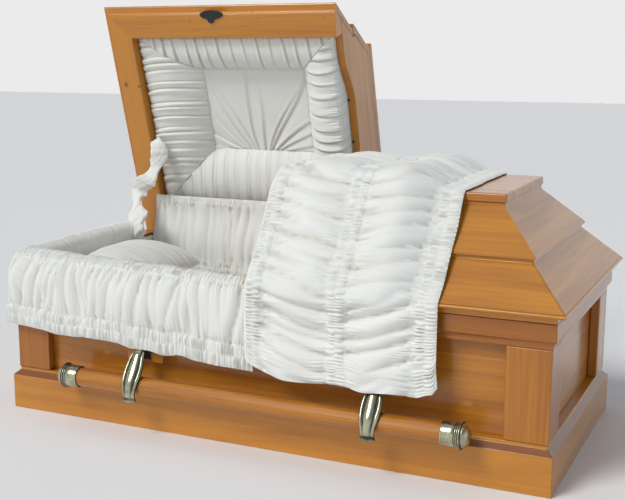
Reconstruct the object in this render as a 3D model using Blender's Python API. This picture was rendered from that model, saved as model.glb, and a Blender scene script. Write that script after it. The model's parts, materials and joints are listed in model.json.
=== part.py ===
"""Half-couch wooden casket: panelled body, two stepped lids hinged at the back, bar handles and cloth lining.

Metres, +Z up. The origin is the middle of the underside. The head end is at -X, the front at -Y.
The head lid stands open and the foot lid is closed. Every outline is a rectangle around the carcass,
so a profile is a list of (outset from the carcass, height) points swept round its corners.
"""
import math

import bmesh
import bpy
from mathutils import Vector

# carcass: a plain box of boards
CARCASS_LENGTH = 1.368
CARCASS_WIDTH = 0.610
BOARD_THICKNESS = 0.016
BOTTOM_THICKNESS = 0.018

# corner posts on the outside of the carcass, between base and cornice
POST_OUTSET = 0.024
POST_WIDTH = 0.100
POST_ROUNDING = 0.003
PANEL_HEIGHT = 0.214

# base moulding round the foot of the carcass
BASE_OVERHANG = 0.012
BASE_FACE_HEIGHT = 0.090
BASE_CHAMFER_RUN = 0.0145
BASE_CHAMFER_RISE = 0.013
BASE_STRIP_HEIGHT = 0.007

# cornice on top of boards and posts
CORNICE_OVERHANG = 0.009
CORNICE_HEIGHT = 0.0585
CORNICE_COVE_HEIGHT = 0.019
CORNICE_COVE_STEPS = 4

# flat frame of each lid, with its moulded lip
LID_SEAM = 0.001
LID_SPLIT_GAP = 0.003
LID_OPEN_ANGLE = 73.75
RIM_INSET = 0.034
RIM_BAND_HEIGHT = 0.0105
RIM_INNER_HEIGHT = 0.042
RIM_COVE_RUN = 0.006
RIM_COVE_STEPS = 2
LIP_OVERHANG = 0.022
LIP_RISE = 0.0245
LIP_THICKNESS = 0.009
LIP_NOSE = 0.003

# two sloping tiers and the top board of each lid
SLOPE_BOARD = 0.018
LOWER_SLOPE_RUN = 0.093
LOWER_SLOPE_RISE = 0.087
LOWER_RISER = 0.0085
UPPER_LIP_OVERHANG = 0.006
UPPER_LIP_THICKNESS = 0.0083
UPPER_SLOPE_RUN = 0.094
UPPER_SLOPE_RISE = 0.0879
UPPER_RISER = 0.0087
TOP_BOARD_OVERHANG = 0.0035
TOP_BOARD_THICKNESS = 0.021
TOP_BOARD_ROUNDING = 0.003

# board that closes each lid at the split, with an S curve along its low edge
SPLIT_BOARD_THICKNESS = 0.022
SPLIT_BOARD_LIFT = 0.001
SPLIT_CURVE_RISE = 0.0435
SPLIT_CURVE_INSET = 0.090
SPLIT_CURVE_RUN = 0.155
SPLIT_CURVE_STEPS = 8

# hinges along the back
HINGE_LENGTH = 0.480
HINGE_BARREL_RADIUS = 0.005
HINGE_BARREL_CLEARANCE = 0.0015
HINGE_BARREL_SIDES = 12
HINGE_LEAF_THICKNESS = 0.0015
HINGE_LEAF_HEIGHT = 0.030
HINGE_TAB_CLEARANCE = 0.0005
HINGE_TAB_THICKNESS = 0.0025
HINGE_KNUCKLES = 7
HINGE_KNUCKLE_GAP = 0.0008

# catch plate under the front rim of the head lid
CATCH_SHIFT = 0.0125
CATCH_LENGTH = 0.073
CATCH_WIDTH = 0.026
CATCH_THICKNESS = 0.0035
CATCH_SIDES = 24

# bar handles, front and back
HANDLE_SHIFT = 0.008
HANDLE_STANDOFF = 0.013
HANDLE_LIFT = 0.015
HANDLE_BAR_RADIUS = 0.024
HANDLE_BAR_LENGTH = 1.030
HANDLE_SIDES = 20
CAP_LENGTH = 0.064
CAP_BORE_DEPTH = 0.036
CAP_COLLAR_LENGTH = 0.024
CAP_COLLAR_FLARE = 0.002
CAP_WALL = 0.0022
CAP_RING_PROUD = 0.0085
CAP_RING_WIDTH = 0.004
CAP_STEP = 0.003
CAP_DOME_STEPS = 4
ARM_SPACING = 0.630
ARM_THICKNESS = 0.009
ARM_RIDGE = 0.004
ARM_NECK_WIDTH = 0.018
ARM_LEAF_WIDTH = 0.046
ARM_FOOT_WIDTH = 0.026
ARM_ROOT_LIFT = 0.031
ARM_STEPS = 14
ARM_START_ANGLE = 122.0
ARM_END_ANGLE = 268.0
BLOCK_WIDTH = 0.104
BLOCK_THICKNESS = 0.026
BLOCK_LIFT = 0.049
BLOCK_HEIGHT = 0.080
BLOCK_SLOT_WIDTH = 0.034
BLOCK_SLOT_DEPTH = 0.020
BLOCK_ROUNDING = 0.002

# bedding and wall lining
LINING_THICKNESS = 0.008
LINING_TOP_DROP = 0.0075
MATTRESS_DROP = 0.1205
MATTRESS_CLEARANCE = 0.005
MATTRESS_ROUNDING = 0.020
PILLOW_LENGTH = 0.290
PILLOW_WIDTH = 0.420
PILLOW_HEIGHT = 0.142
PILLOW_END_CLEARANCE = 0.016
PILLOW_SQUARENESS = 2.6
PILLOW_SIDES = 16

# skirt folded over the rim of the head half
SKIRT_THICKNESS = 0.0165
SKIRT_CREST = 0.036
SKIRT_INSIDE_REACH = 0.028
SKIRT_HEAD_DROP = 0.1425
SKIRT_SPLIT_DROP = 0.1775
SKIRT_BACK_STOP = 0.085
SKIRT_SPLIT_STOP = 0.006

# throw laid over the split end of the foot lid
THROW_SETBACK = 0.0125
THROW_WIDTH = 0.458
THROW_THICKNESS = 0.012
THROW_CLEARANCE = 0.002
THROW_DROP = 0.200
THROW_BACK_INSET = 0.065

# padding of the lids
ROLL_DEPTH = 0.054
ROLL_RECESS = 0.024
ROLL_CLEARANCE = 0.0015
ROLL_HEAD_WIDTH = 0.178
ROLL_FOOT_WIDTH = 0.119
ROLL_FRONT_WIDTH = 0.100
ROLL_BACK_WIDTH = 0.178
ROLL_ROUNDING = 0.018
CENTRE_PANEL_THICKNESS = 0.012
FOOT_LINING_THICKNESS = 0.010
FOOT_LINING_LIFT = 0.0225

# cloth between body and open lid, and the gathered sleeve over the lid support
APRON_THICKNESS = 0.009
APRON_RISE = 0.1165
SLEEVE_RADIUS = 0.018
SLEEVE_SIDES = 12
SLEEVE_REACH = 0.259
SLEEVE_CLEARANCE = 0.0085
SLEEVE_FOOT_INSET = 0.043

# fits
GAP = 0.0003
MITRE_GAP = 0.0002
ROUNDED_EDGE_ANGLE = 40.0

# worked out from the sizes above
HALF_LENGTH = CARCASS_LENGTH / 2
HALF_WIDTH = CARCASS_WIDTH / 2
BASE_OUTSET = POST_OUTSET + BASE_OVERHANG
BASE_TOP = BASE_FACE_HEIGHT + BASE_CHAMFER_RISE + BASE_STRIP_HEIGHT
CORNICE_OUTSET = POST_OUTSET + CORNICE_OVERHANG
CORNICE_BOTTOM = BASE_TOP + PANEL_HEIGHT
BODY_TOP = CORNICE_BOTTOM + CORNICE_HEIGHT
LID_BOTTOM = BODY_TOP + LID_SEAM
SPLIT_HALF = LID_SPLIT_GAP / 2
LID_MIDDLE = (SPLIT_HALF + HALF_LENGTH + CORNICE_OUTSET) / 2
HINGE_STANDOFF = HINGE_LEAF_THICKNESS + HINGE_BARREL_CLEARANCE + HINGE_BARREL_RADIUS
HINGE_AXIS = Vector((0, HALF_WIDTH + CORNICE_OUTSET + HINGE_STANDOFF, LID_BOTTOM))
RIM_INNER_TOP = LID_BOTTOM + RIM_INNER_HEIGHT
LIP_OUTSET = CORNICE_OUTSET + LIP_OVERHANG
LIP_TOP = LID_BOTTOM + LIP_RISE
LOWER_SLOPE_TOP = LIP_TOP + LOWER_SLOPE_RISE
LOWER_SLOPE_INNER = LIP_OUTSET - LOWER_SLOPE_RUN
LOWER_TOP = LOWER_SLOPE_TOP + LOWER_RISER
UPPER_LIP_OUTSET = LOWER_SLOPE_INNER + UPPER_LIP_OVERHANG
UPPER_BOTTOM = LOWER_TOP + GAP
UPPER_LIP_TOP = UPPER_BOTTOM + UPPER_LIP_THICKNESS
UPPER_SLOPE_TOP = UPPER_LIP_TOP + UPPER_SLOPE_RISE
UPPER_SLOPE_INNER = UPPER_LIP_OUTSET - UPPER_SLOPE_RUN
UPPER_TOP = UPPER_SLOPE_TOP + UPPER_RISER
TOP_BOARD_BOTTOM = UPPER_TOP + GAP
TOP_BOARD_TOP = TOP_BOARD_BOTTOM + TOP_BOARD_THICKNESS
TOP_BOARD_OUTSET = UPPER_SLOPE_INNER + TOP_BOARD_OVERHANG
LOWER_SLANT = LOWER_SLOPE_RUN / LOWER_SLOPE_RISE
LOWER_BACK = SLOPE_BOARD * math.hypot(LOWER_SLOPE_RUN, LOWER_SLOPE_RISE) / LOWER_SLOPE_RISE
UPPER_BACK = SLOPE_BOARD * math.hypot(UPPER_SLOPE_RUN, UPPER_SLOPE_RISE) / UPPER_SLOPE_RISE
HANDLE_AXIS_OUTSET = BASE_OUTSET + HANDLE_STANDOFF + HANDLE_BAR_RADIUS
HANDLE_AXIS_HEIGHT = BASE_TOP + HANDLE_LIFT
BLOCK_BOTTOM = HANDLE_AXIS_HEIGHT + BLOCK_LIFT
BLOCK_SLOT_FLOOR = HALF_WIDTH + BLOCK_THICKNESS - BLOCK_SLOT_DEPTH
MATTRESS_TOP = BODY_TOP - MATTRESS_DROP
LINING_INSIDE = BOARD_THICKNESS + GAP + LINING_THICKNESS

FINISHES = {
    "wood": ((0.50, 0.24, 0.07), 0.35, 0.0),
    "brass": ((0.42, 0.36, 0.20), 0.32, 1.0),
    "steel": ((0.30, 0.29, 0.28), 0.40, 1.0),
    "black": ((0.02, 0.03, 0.05), 0.40, 0.0),
    "cloth": ((0.86, 0.85, 0.80), 0.85, 0.0),
}


def clear_scene():
    for thing in list(bpy.data.objects):
        bpy.data.objects.remove(thing, do_unlink=True)


def material(name, colour, roughness, metallic):
    """One Principled material for one object."""
    made = bpy.data.materials.new(name)
    made.use_nodes = True
    shader = made.node_tree.nodes["Principled BSDF"]
    shader.inputs["Base Color"].default_value = (*colour, 1.0)
    shader.inputs["Roughness"].default_value = roughness
    shader.inputs["Metallic"].default_value = metallic
    return made


def add_object(name, mesh_builder, finish, parent=None):
    """Turns a bmesh into a named object; with a parent empty, its origin is on the hinge axis."""
    bmesh.ops.recalc_face_normals(mesh_builder, faces=mesh_builder.faces)
    if parent is not None:
        bmesh.ops.translate(mesh_builder, verts=mesh_builder.verts, vec=-HINGE_AXIS)
    mesh = bpy.data.meshes.new(name)
    mesh_builder.to_mesh(mesh)
    mesh_builder.free()
    made = bpy.data.objects.new(name, mesh)
    bpy.context.scene.collection.objects.link(made)
    made.data.materials.append(material(name, *FINISHES[finish]))
    made.parent = parent
    return made


def round_edges(thing, width, segments=2):
    """Rounds the outward edges only, so an inside corner still fits what it meets."""
    build = bmesh.new()
    build.from_mesh(thing.data)
    weight = build.edges.layers.float.new("bevel_weight_edge")
    sharp = math.radians(ROUNDED_EDGE_ANGLE)
    for edge in build.edges:
        edge[weight] = 1.0 if edge.is_convex and edge.calc_face_angle(0.0) > sharp else 0.0
    build.to_mesh(thing.data)
    build.free()
    bevel = thing.modifiers.new("rounding", "BEVEL")
    bevel.width = width
    bevel.segments = segments
    bevel.limit_method = "WEIGHT"


def loft(rings):
    """A closed solid through rings of as many points each, capped at both ends."""
    build = bmesh.new()
    rows = [[build.verts.new(point) for point in ring] for ring in rings]
    for near, far in zip(rows, rows[1:]):
        bridge(build, near, far)
    build.faces.new(rows[0])
    build.faces.new(rows[-1])
    return build


def bridge(build, near, far):
    """Faces between two closed rows of vertices; a row of one vertex is a tip."""
    count = max(len(near), len(far))
    for i in range(count):
        j = (i + 1) % count
        quad = [near[i % len(near)], near[j % len(near)], far[j % len(far)], far[i % len(far)]]
        build.faces.new(list(dict.fromkeys(quad)))


def prism_z(outline, bottom, top):
    return loft([[Vector((x, y, z)) for x, y in outline] for z in (bottom, top)])


def prism_x(outline, start, end):
    """A solid whose (y, z) outline runs along X."""
    return loft([[Vector((x, y, z)) for y, z in outline] for x in (start, end)])


def box(low, high):
    outline = [(low[0], low[1]), (high[0], low[1]), (high[0], high[1]), (low[0], high[1])]
    return prism_z(outline, low[2], high[2])


def corner(side_x, side_y, trim_x=0.0, trim_y=0.0):
    """Where a swept profile point lies at a corner of the rectangle: the outset runs both ways."""
    def place(outset, z):
        x = side_x * (HALF_LENGTH + outset - trim_x)
        y = side_y * (HALF_WIDTH + outset - trim_y)
        return Vector((x, y, z))
    return place


def cut(x, side_y):
    """Where a profile point lies at a square cut across a long side."""
    def place(outset, z):
        return Vector((x, side_y * (HALF_WIDTH + outset), z))
    return place


def sweep(profile, stations):
    return loft([[place(outset, z) for outset, z in profile] for place in stations])


def cove(start, end, steps):
    """A quarter hollow from one (outset, height) point out and up to another."""
    points = []
    for step in range(steps + 1):
        turn = math.radians(90) * step / steps
        outset = start[0] + (end[0] - start[0]) * (1 - math.cos(turn))
        points.append((outset, start[1] + (end[1] - start[1]) * math.sin(turn)))
    return points


def four_rails(prefix, profile):
    """Four mitred boards round the carcass."""
    for side, side_y in (("front", -1), ("back", 1)):
        ends = [corner(side_x, side_y, trim_x=MITRE_GAP) for side_x in (-1, 1)]
        add_object(f"{prefix}_{side}", sweep(profile, ends), "wood")
    for side, side_x in (("head", -1), ("foot", 1)):
        ends = [corner(side_x, side_y, trim_y=MITRE_GAP) for side_y in (-1, 1)]
        add_object(f"{prefix}_{side}", sweep(profile, ends), "wood")


def add_carcass():
    """Bottom board and four wall boards; the end boards stand between the long ones."""
    inner_x = HALF_LENGTH - BOARD_THICKNESS - GAP
    inner_y = HALF_WIDTH - BOARD_THICKNESS - GAP
    wall_top = CORNICE_BOTTOM - GAP
    bottom = box((-inner_x, -inner_y, 0), (inner_x, inner_y, BOTTOM_THICKNESS))
    add_object("bottom_board", bottom, "wood")
    for side, side_y in (("front", -1), ("back", 1)):
        low, high = sorted((side_y * HALF_WIDTH, side_y * (HALF_WIDTH - BOARD_THICKNESS)))
        add_object(f"{side}_board", box((-HALF_LENGTH, low, 0), (HALF_LENGTH, high, wall_top)), "wood")
    for side, side_x in (("head", -1), ("foot", 1)):
        low, high = sorted((side_x * HALF_LENGTH, side_x * (HALF_LENGTH - BOARD_THICKNESS)))
        add_object(f"{side}_board", box((low, -inner_y, 0), (high, inner_y, wall_top)), "wood")


def add_base():
    strip_outset = BASE_OUTSET - BASE_CHAMFER_RUN
    profile = [(GAP, 0), (BASE_OUTSET, 0), (BASE_OUTSET, BASE_FACE_HEIGHT),
               (strip_outset, BASE_FACE_HEIGHT + BASE_CHAMFER_RISE), (strip_outset, BASE_TOP), (GAP, BASE_TOP)]
    four_rails("base_rail", profile)


def add_posts():
    """An L of two boards round each corner of the carcass."""
    outer_x, outer_y = HALF_LENGTH + POST_OUTSET, HALF_WIDTH + POST_OUTSET
    inner_x, inner_y = HALF_LENGTH + GAP, HALF_WIDTH + GAP
    leg_x, leg_y = outer_x - POST_WIDTH, outer_y - POST_WIDTH
    outline = [(outer_x, outer_y), (leg_x, outer_y), (leg_x, inner_y),
               (inner_x, inner_y), (inner_x, leg_y), (outer_x, leg_y)]
    for end, side_x in (("head", -1), ("foot", 1)):
        for face, side_y in (("front", -1), ("back", 1)):
            placed = [(side_x * x, side_y * y) for x, y in outline]
            post = prism_z(placed, BASE_TOP + GAP, CORNICE_BOTTOM - GAP)
            round_edges(add_object(f"corner_post_{face}_{end}", post, "wood"), POST_ROUNDING)


def add_cornice():
    """A rail with a straight face over a cove that runs in to the posts."""
    hollow = cove((POST_OUTSET, CORNICE_BOTTOM), (CORNICE_OUTSET, CORNICE_BOTTOM + CORNICE_COVE_HEIGHT),
                  CORNICE_COVE_STEPS)
    profile = [(-BOARD_THICKNESS, CORNICE_BOTTOM)] + hollow
    profile += [(CORNICE_OUTSET, BODY_TOP), (-BOARD_THICKNESS, BODY_TOP)]
    four_rails("cornice", profile)


def lower_slope_back(z):
    """Outset of the inner face of the lower slope board at a height."""
    return LIP_OUTSET - LIP_NOSE - LOWER_BACK - LOWER_SLANT * (z - LIP_TOP)


def rim_profile():
    """The lid's flat frame with its moulded lip; the slope boards stand on it."""
    lip_bottom = LIP_TOP - LIP_THICKNESS
    hollow = cove((CORNICE_OUTSET, LID_BOTTOM + RIM_BAND_HEIGHT), (CORNICE_OUTSET + RIM_COVE_RUN, lip_bottom),
                  RIM_COVE_STEPS)
    fit = 2 * GAP
    return [(-RIM_INSET, LID_BOTTOM), (CORNICE_OUTSET, LID_BOTTOM), *hollow,
            (LIP_OUTSET - LIP_NOSE, lip_bottom), (LIP_OUTSET, lip_bottom + LIP_NOSE),
            (LIP_OUTSET, LIP_TOP - LIP_NOSE), (LIP_OUTSET - LIP_NOSE, LIP_TOP),
            (lower_slope_back(LIP_TOP) - fit, LIP_TOP), (lower_slope_back(RIM_INNER_TOP) - fit, RIM_INNER_TOP),
            (-RIM_INSET, RIM_INNER_TOP)]


def lower_slope_profile():
    foot = LIP_OUTSET - LIP_NOSE
    inside = LOWER_SLOPE_INNER - LOWER_BACK
    return [(foot, LIP_TOP + GAP), (LOWER_SLOPE_INNER, LOWER_SLOPE_TOP), (LOWER_SLOPE_INNER, LOWER_TOP),
            (inside, LOWER_TOP), (inside, LOWER_SLOPE_TOP), (foot - LOWER_BACK, LIP_TOP + GAP)]


def upper_slope_profile():
    nose = UPPER_LIP_OUTSET - LIP_NOSE
    inside = UPPER_SLOPE_INNER - UPPER_BACK
    return [(UPPER_LIP_OUTSET, UPPER_BOTTOM), (UPPER_LIP_OUTSET, UPPER_LIP_TOP - LIP_NOSE),
            (nose, UPPER_LIP_TOP), (UPPER_SLOPE_INNER, UPPER_SLOPE_TOP), (UPPER_SLOPE_INNER, UPPER_TOP),
            (inside, UPPER_TOP), (inside, UPPER_SLOPE_TOP),
            (nose - UPPER_BACK, UPPER_LIP_TOP), (nose - UPPER_BACK, UPPER_BOTTOM)]


def split_board_outline():
    """Fills the hollow of the lid down to the rim, with an S curve at each side of its low edge."""
    fit = 2 * GAP
    low_edge = RIM_INNER_TOP + SPLIT_BOARD_LIFT
    step_side = LOWER_SLOPE_INNER - LOWER_BACK
    upper_side = UPPER_LIP_OUTSET - LIP_NOSE - UPPER_BACK
    top_side = UPPER_SLOPE_INNER - UPPER_BACK
    sides = [(lower_slope_back(low_edge), low_edge), (step_side, LOWER_SLOPE_TOP),
             (min(step_side, upper_side), UPPER_LIP_TOP), (top_side, UPPER_SLOPE_TOP), (top_side, UPPER_TOP)]
    curve = []
    for step in range(SPLIT_CURVE_STEPS + 1):
        share = step / SPLIT_CURVE_STEPS
        smooth = share * share * (3 - 2 * share)
        y = HALF_WIDTH - SPLIT_CURVE_INSET - SPLIT_CURVE_RUN * share
        curve.append((y, low_edge + SPLIT_CURVE_RISE * smooth))
    right = curve[::-1] + [(HALF_WIDTH + outset - fit, z) for outset, z in sides]
    left = [(-y, z) for y, z in reversed(right)]
    return right + left


def add_lid(name, side_x, hinge):
    """Rim, two sloping tiers, top board and split board; side_x is -1 for the head lid."""
    split = side_x * SPLIT_HALF
    path = [cut(split, -1), corner(side_x, -1), corner(side_x, 1), cut(split, 1)]
    add_object(f"{name}_rim", sweep(rim_profile(), path), "wood", hinge)
    add_object(f"{name}_lower_slope", sweep(lower_slope_profile(), path), "wood", hinge)
    add_object(f"{name}_upper_slope", sweep(upper_slope_profile(), path), "wood", hinge)
    low, high = sorted((split, side_x * (HALF_LENGTH + TOP_BOARD_OUTSET)))
    top_y = HALF_WIDTH + TOP_BOARD_OUTSET
    top = box((low, -top_y, TOP_BOARD_BOTTOM), (high, top_y, TOP_BOARD_TOP))
    round_edges(add_object(f"{name}_top_board", top, "wood", hinge), TOP_BOARD_ROUNDING)
    board = prism_x(split_board_outline(), split, split + side_x * SPLIT_BOARD_THICKNESS)
    add_object(f"{name}_split_board", board, "wood", hinge)


def disc_ring(x, y, z, radius, sides):
    turns = [math.radians(360) * i / sides for i in range(sides)]
    return [Vector((x, y + radius * math.cos(turn), z + radius * math.sin(turn))) for turn in turns]


def add_hinge_leaf(name, centre_x, on_lid, parent):
    """A leaf with every other knuckle of the barrel, each on a tab; the other leaf has the rest."""
    face = HALF_WIDTH + CORNICE_OUTSET + GAP
    start = centre_x - HINGE_LENGTH / 2
    pitch = HINGE_LENGTH / HINGE_KNUCKLES
    side = 1 if on_lid else -1
    if on_lid:
        low, high = LID_BOTTOM + GAP, LID_BOTTOM + RIM_BAND_HEIGHT - GAP
    else:
        low, high = BODY_TOP - HINGE_LEAF_HEIGHT, BODY_TOP - GAP
    plate = box((start, face, low), (start + HINGE_LENGTH, face + HINGE_LEAF_THICKNESS, high))
    leaf = add_object(name, plate, "steel", parent)
    tab_near = HINGE_AXIS.z + side * (LID_SEAM + HINGE_TAB_CLEARANCE)
    tab_low, tab_high = sorted((tab_near, tab_near + side * HINGE_TAB_THICKNESS))
    for index in range(1 if on_lid else 0, HINGE_KNUCKLES, 2):
        first = start + index * pitch + HINGE_KNUCKLE_GAP / 2
        last = first + pitch - HINGE_KNUCKLE_GAP
        rings = [disc_ring(x, HINGE_AXIS.y, HINGE_AXIS.z, HINGE_BARREL_RADIUS, HINGE_BARREL_SIDES)
                 for x in (first, last)]
        tab = box((first, face + GAP, tab_low), (last, HINGE_AXIS.y, tab_high))
        for label, part in (("knuckle", loft(rings)), ("tab", tab)):
            tool = add_object(f"{name}_{label}_{index}", part, "steel", parent)
            tool.hide_render = True
            tool.display_type = "WIRE"
            union = leaf.modifiers.new(label, "BOOLEAN")
            union.operation = "UNION"
            union.solver = "EXACT"
            union.object = tool


def add_catch(hinge):
    """A thin oval plate under the front rim."""
    middle_x = -(LID_MIDDLE + CATCH_SHIFT)
    middle_y = -(HALF_WIDTH + CORNICE_OUTSET)
    outline = []
    for i in range(CATCH_SIDES):
        turn = math.radians(360) * i / CATCH_SIDES
        outline.append((middle_x + CATCH_LENGTH / 2 * math.cos(turn), middle_y + CATCH_WIDTH / 2 * math.sin(turn)))
    top = LID_BOTTOM - GAP
    add_object("catch_plate", prism_z(outline, top - CATCH_THICKNESS, top), "black", hinge)


def cap_profile():
    """(along, radius) points of a cup over the bar's end: bore, flared collar, bead, ring and dome."""
    bore = HANDLE_BAR_RADIUS + GAP
    collar = bore + CAP_WALL
    ring = HANDLE_BAR_RADIUS + CAP_RING_PROUD
    bead = ring - CAP_STEP
    neck = bead - CAP_STEP
    ring_start = CAP_COLLAR_LENGTH + 3 * CAP_STEP
    ring_end = ring_start + CAP_RING_WIDTH
    dome_start = ring_end + 2 * CAP_STEP
    profile = [(CAP_BORE_DEPTH, 0.0), (CAP_BORE_DEPTH, bore), (0.0, bore), (0.0, collar),
               (CAP_COLLAR_LENGTH, collar + CAP_COLLAR_FLARE), (CAP_COLLAR_LENGTH + CAP_STEP, bead),
               (CAP_COLLAR_LENGTH + 2 * CAP_STEP, bead), (CAP_COLLAR_LENGTH + 2 * CAP_STEP, neck),
               (ring_start, ring), (ring_end, ring), (ring_end + CAP_STEP, bead)]
    for step in range(CAP_DOME_STEPS):
        turn = math.radians(90) * step / CAP_DOME_STEPS
        profile.append((dome_start + (CAP_LENGTH - dome_start) * math.sin(turn), neck * math.cos(turn)))
    profile.append((CAP_LENGTH, 0.0))
    return profile


def turned_cap(mouth_x, direction, axis_y):
    """The cap's profile turned about the bar, with its mouth at mouth_x."""
    build = bmesh.new()
    rows = []
    for along, radius in cap_profile():
        x = mouth_x + direction * along
        if radius == 0.0:
            rows.append([build.verts.new((x, axis_y, HANDLE_AXIS_HEIGHT))])
        else:
            points = disc_ring(x, axis_y, HANDLE_AXIS_HEIGHT, radius, HANDLE_SIDES)
            rows.append([build.verts.new(point) for point in points])
    for near, far in zip(rows, rows[1:]):
        bridge(build, near, far)
    return build


def arm_route(side_y):
    """Centre line of an arm in (y, z): straight out of the slot, then round the front of the bar and under it."""
    axis_y = HALF_WIDTH + HANDLE_AXIS_OUTSET
    reach = HANDLE_BAR_RADIUS + GAP + ARM_THICKNESS / 2
    root_z = BLOCK_BOTTOM + ARM_ROOT_LIFT
    route = [(BLOCK_SLOT_FLOOR + GAP, root_z), (HALF_WIDTH + BLOCK_THICKNESS, root_z)]
    for step in range(ARM_STEPS + 1):
        turn = math.radians(ARM_START_ANGLE + (ARM_END_ANGLE - ARM_START_ANGLE) * step / ARM_STEPS)
        route.append((axis_y - reach * math.cos(turn), HANDLE_AXIS_HEIGHT + reach * math.sin(turn)))
    return [Vector((0, side_y * y, z)) for y, z in route]


def arm_width(share):
    """Width along an arm: a neck that swells to a leaf and narrows to the foot."""
    stem = ARM_NECK_WIDTH + (ARM_FOOT_WIDTH - ARM_NECK_WIDTH) * share
    return stem + (ARM_LEAF_WIDTH - stem) * math.sin(math.pi * share)


def leaf_arm(x, side_y):
    """A strap with a raised middle ridge that follows the arm's route."""
    route = arm_route(side_y)
    lengths = [0.0]
    for near, far in zip(route, route[1:]):
        lengths.append(lengths[-1] + (far - near).length)
    across = Vector((1, 0, 0))
    rings = []
    for index, point in enumerate(route):
        near, far = max(index - 1, 0), min(index + 1, len(route) - 1)
        ahead = (route[far] - route[near]).normalized()
        if index < 2:
            ahead = Vector((0, side_y, 0))
        out = ahead.cross(across) * -side_y
        half = arm_width(lengths[index] / lengths[-1]) / 2
        back = out * (-ARM_THICKNESS / 2)
        edge = out * (ARM_THICKNESS / 2 - ARM_RIDGE)
        ridge = out * (ARM_THICKNESS / 2)
        centre = point + Vector((x, 0, 0))
        rings.append([centre - across * half + back, centre + across * half + back,
                      centre + across * half + edge, centre + ridge, centre - across * half + edge])
    return loft(rings)


def add_handle(name, side_y):
    axis_y = side_y * (HALF_WIDTH + HANDLE_AXIS_OUTSET)
    half = HANDLE_BAR_LENGTH / 2
    ends = [HANDLE_SHIFT - half, HANDLE_SHIFT + half]
    rod = loft([disc_ring(x, axis_y, HANDLE_AXIS_HEIGHT, HANDLE_BAR_RADIUS, HANDLE_SIDES) for x in ends])
    add_object(f"{name}_handle_bar", rod, "wood")
    for end, direction in (("head", -1), ("foot", 1)):
        mouth = HANDLE_SHIFT + direction * (half + GAP - CAP_BORE_DEPTH)
        add_object(f"{name}_handle_cap_{end}", turned_cap(mouth, direction, axis_y), "brass")
        arm_x = HANDLE_SHIFT + direction * ARM_SPACING / 2
        add_object(f"{name}_handle_arm_{end}", leaf_arm(arm_x, side_y), "brass")
        add_block(f"{name}_handle_block_{end}", arm_x, side_y)


def add_block(name, x, side_y):
    """Wooden block on the wall board with an upright slot for the arm's root."""
    back = HALF_WIDTH + GAP
    face = HALF_WIDTH + BLOCK_THICKNESS
    half, slot = BLOCK_WIDTH / 2, BLOCK_SLOT_WIDTH / 2
    outline = [(x - half, back), (x + half, back), (x + half, face), (x + slot, face),
               (x + slot, BLOCK_SLOT_FLOOR), (x - slot, BLOCK_SLOT_FLOOR), (x - slot, face), (x - half, face)]
    solid = prism_z([(px, side_y * py) for px, py in outline], BLOCK_BOTTOM, BLOCK_BOTTOM + BLOCK_HEIGHT)
    round_edges(add_object(name, solid, "wood"), BLOCK_ROUNDING, 1)


def cushion(centre, half, sides, squareness):
    """A crowned closed form whose sections are rounded rectangles."""
    def swell(value):
        return math.copysign(abs(value) ** (2 / squareness), value)
    build = bmesh.new()
    rows = []
    levels = sides // 2
    for level in range(levels + 1):
        tilt = math.radians(-90 + 180 * level / levels)
        z = centre[2] + half[2] * swell(math.sin(tilt))
        if level in (0, levels):
            rows.append([build.verts.new((centre[0], centre[1], z))])
            continue
        girth = swell(math.cos(tilt))
        row = []
        for i in range(sides):
            turn = math.radians(360) * i / sides
            x = centre[0] + half[0] * girth * swell(math.cos(turn))
            y = centre[1] + half[1] * girth * swell(math.sin(turn))
            row.append(build.verts.new((x, y, z)))
        rows.append(row)
    for near, far in zip(rows, rows[1:]):
        bridge(build, near, far)
    return build


def add_bedding():
    reach_x = HALF_LENGTH - LINING_INSIDE - MATTRESS_CLEARANCE
    reach_y = HALF_WIDTH - LINING_INSIDE - MATTRESS_CLEARANCE
    bed = box((-reach_x, -reach_y, BOTTOM_THICKNESS + GAP), (reach_x, reach_y, MATTRESS_TOP))
    round_edges(add_object("mattress", bed, "cloth"), MATTRESS_ROUNDING, 3)
    half = (PILLOW_LENGTH / 2, PILLOW_WIDTH / 2, PILLOW_HEIGHT / 2)
    middle_x = -(HALF_LENGTH - LINING_INSIDE - PILLOW_END_CLEARANCE - half[0])
    middle = (middle_x, 0.0, MATTRESS_TOP + GAP + half[2])
    add_object("pillow", cushion(middle, half, PILLOW_SIDES, PILLOW_SQUARENESS), "cloth")


def add_body_lining():
    """A thin lining round the inside of the walls, from the bedding to just under the cornice top."""
    outer = -(BOARD_THICKNESS + GAP)
    low, high = MATTRESS_TOP + GAP, BODY_TOP - LINING_TOP_DROP
    profile = [(-LINING_INSIDE, low), (outer, low), (outer, high), (-LINING_INSIDE, high)]
    stations = [corner(-1, -1), corner(1, -1), corner(1, 1), corner(-1, 1)]
    build = bmesh.new()
    rows = [[build.verts.new(place(*point)) for point in profile] for place in stations]
    for near, far in zip(rows, rows[1:] + rows[:1]):
        bridge(build, near, far)
    add_object("body_lining", build, "cloth")


def skirt_profile(hem):
    """Cloth folded over the cornice: up inside, over a soft crest and down the outside to the hem."""
    top = BODY_TOP + GAP
    crest = BODY_TOP + SKIRT_CREST
    face = CORNICE_OUTSET + 2 * GAP
    outer = face + SKIRT_THICKNESS
    return [(-SKIRT_INSIDE_REACH, top), (face, top), (face, hem), (outer, hem), (outer + GAP, top),
            (outer - SKIRT_THICKNESS / 3, crest - SKIRT_CREST / 3), (face - SKIRT_THICKNESS / 2, crest),
            (-SKIRT_INSIDE_REACH + SKIRT_THICKNESS / 2, crest - SKIRT_CREST / 4),
            (-SKIRT_INSIDE_REACH, crest - SKIRT_CREST / 2)]


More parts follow.
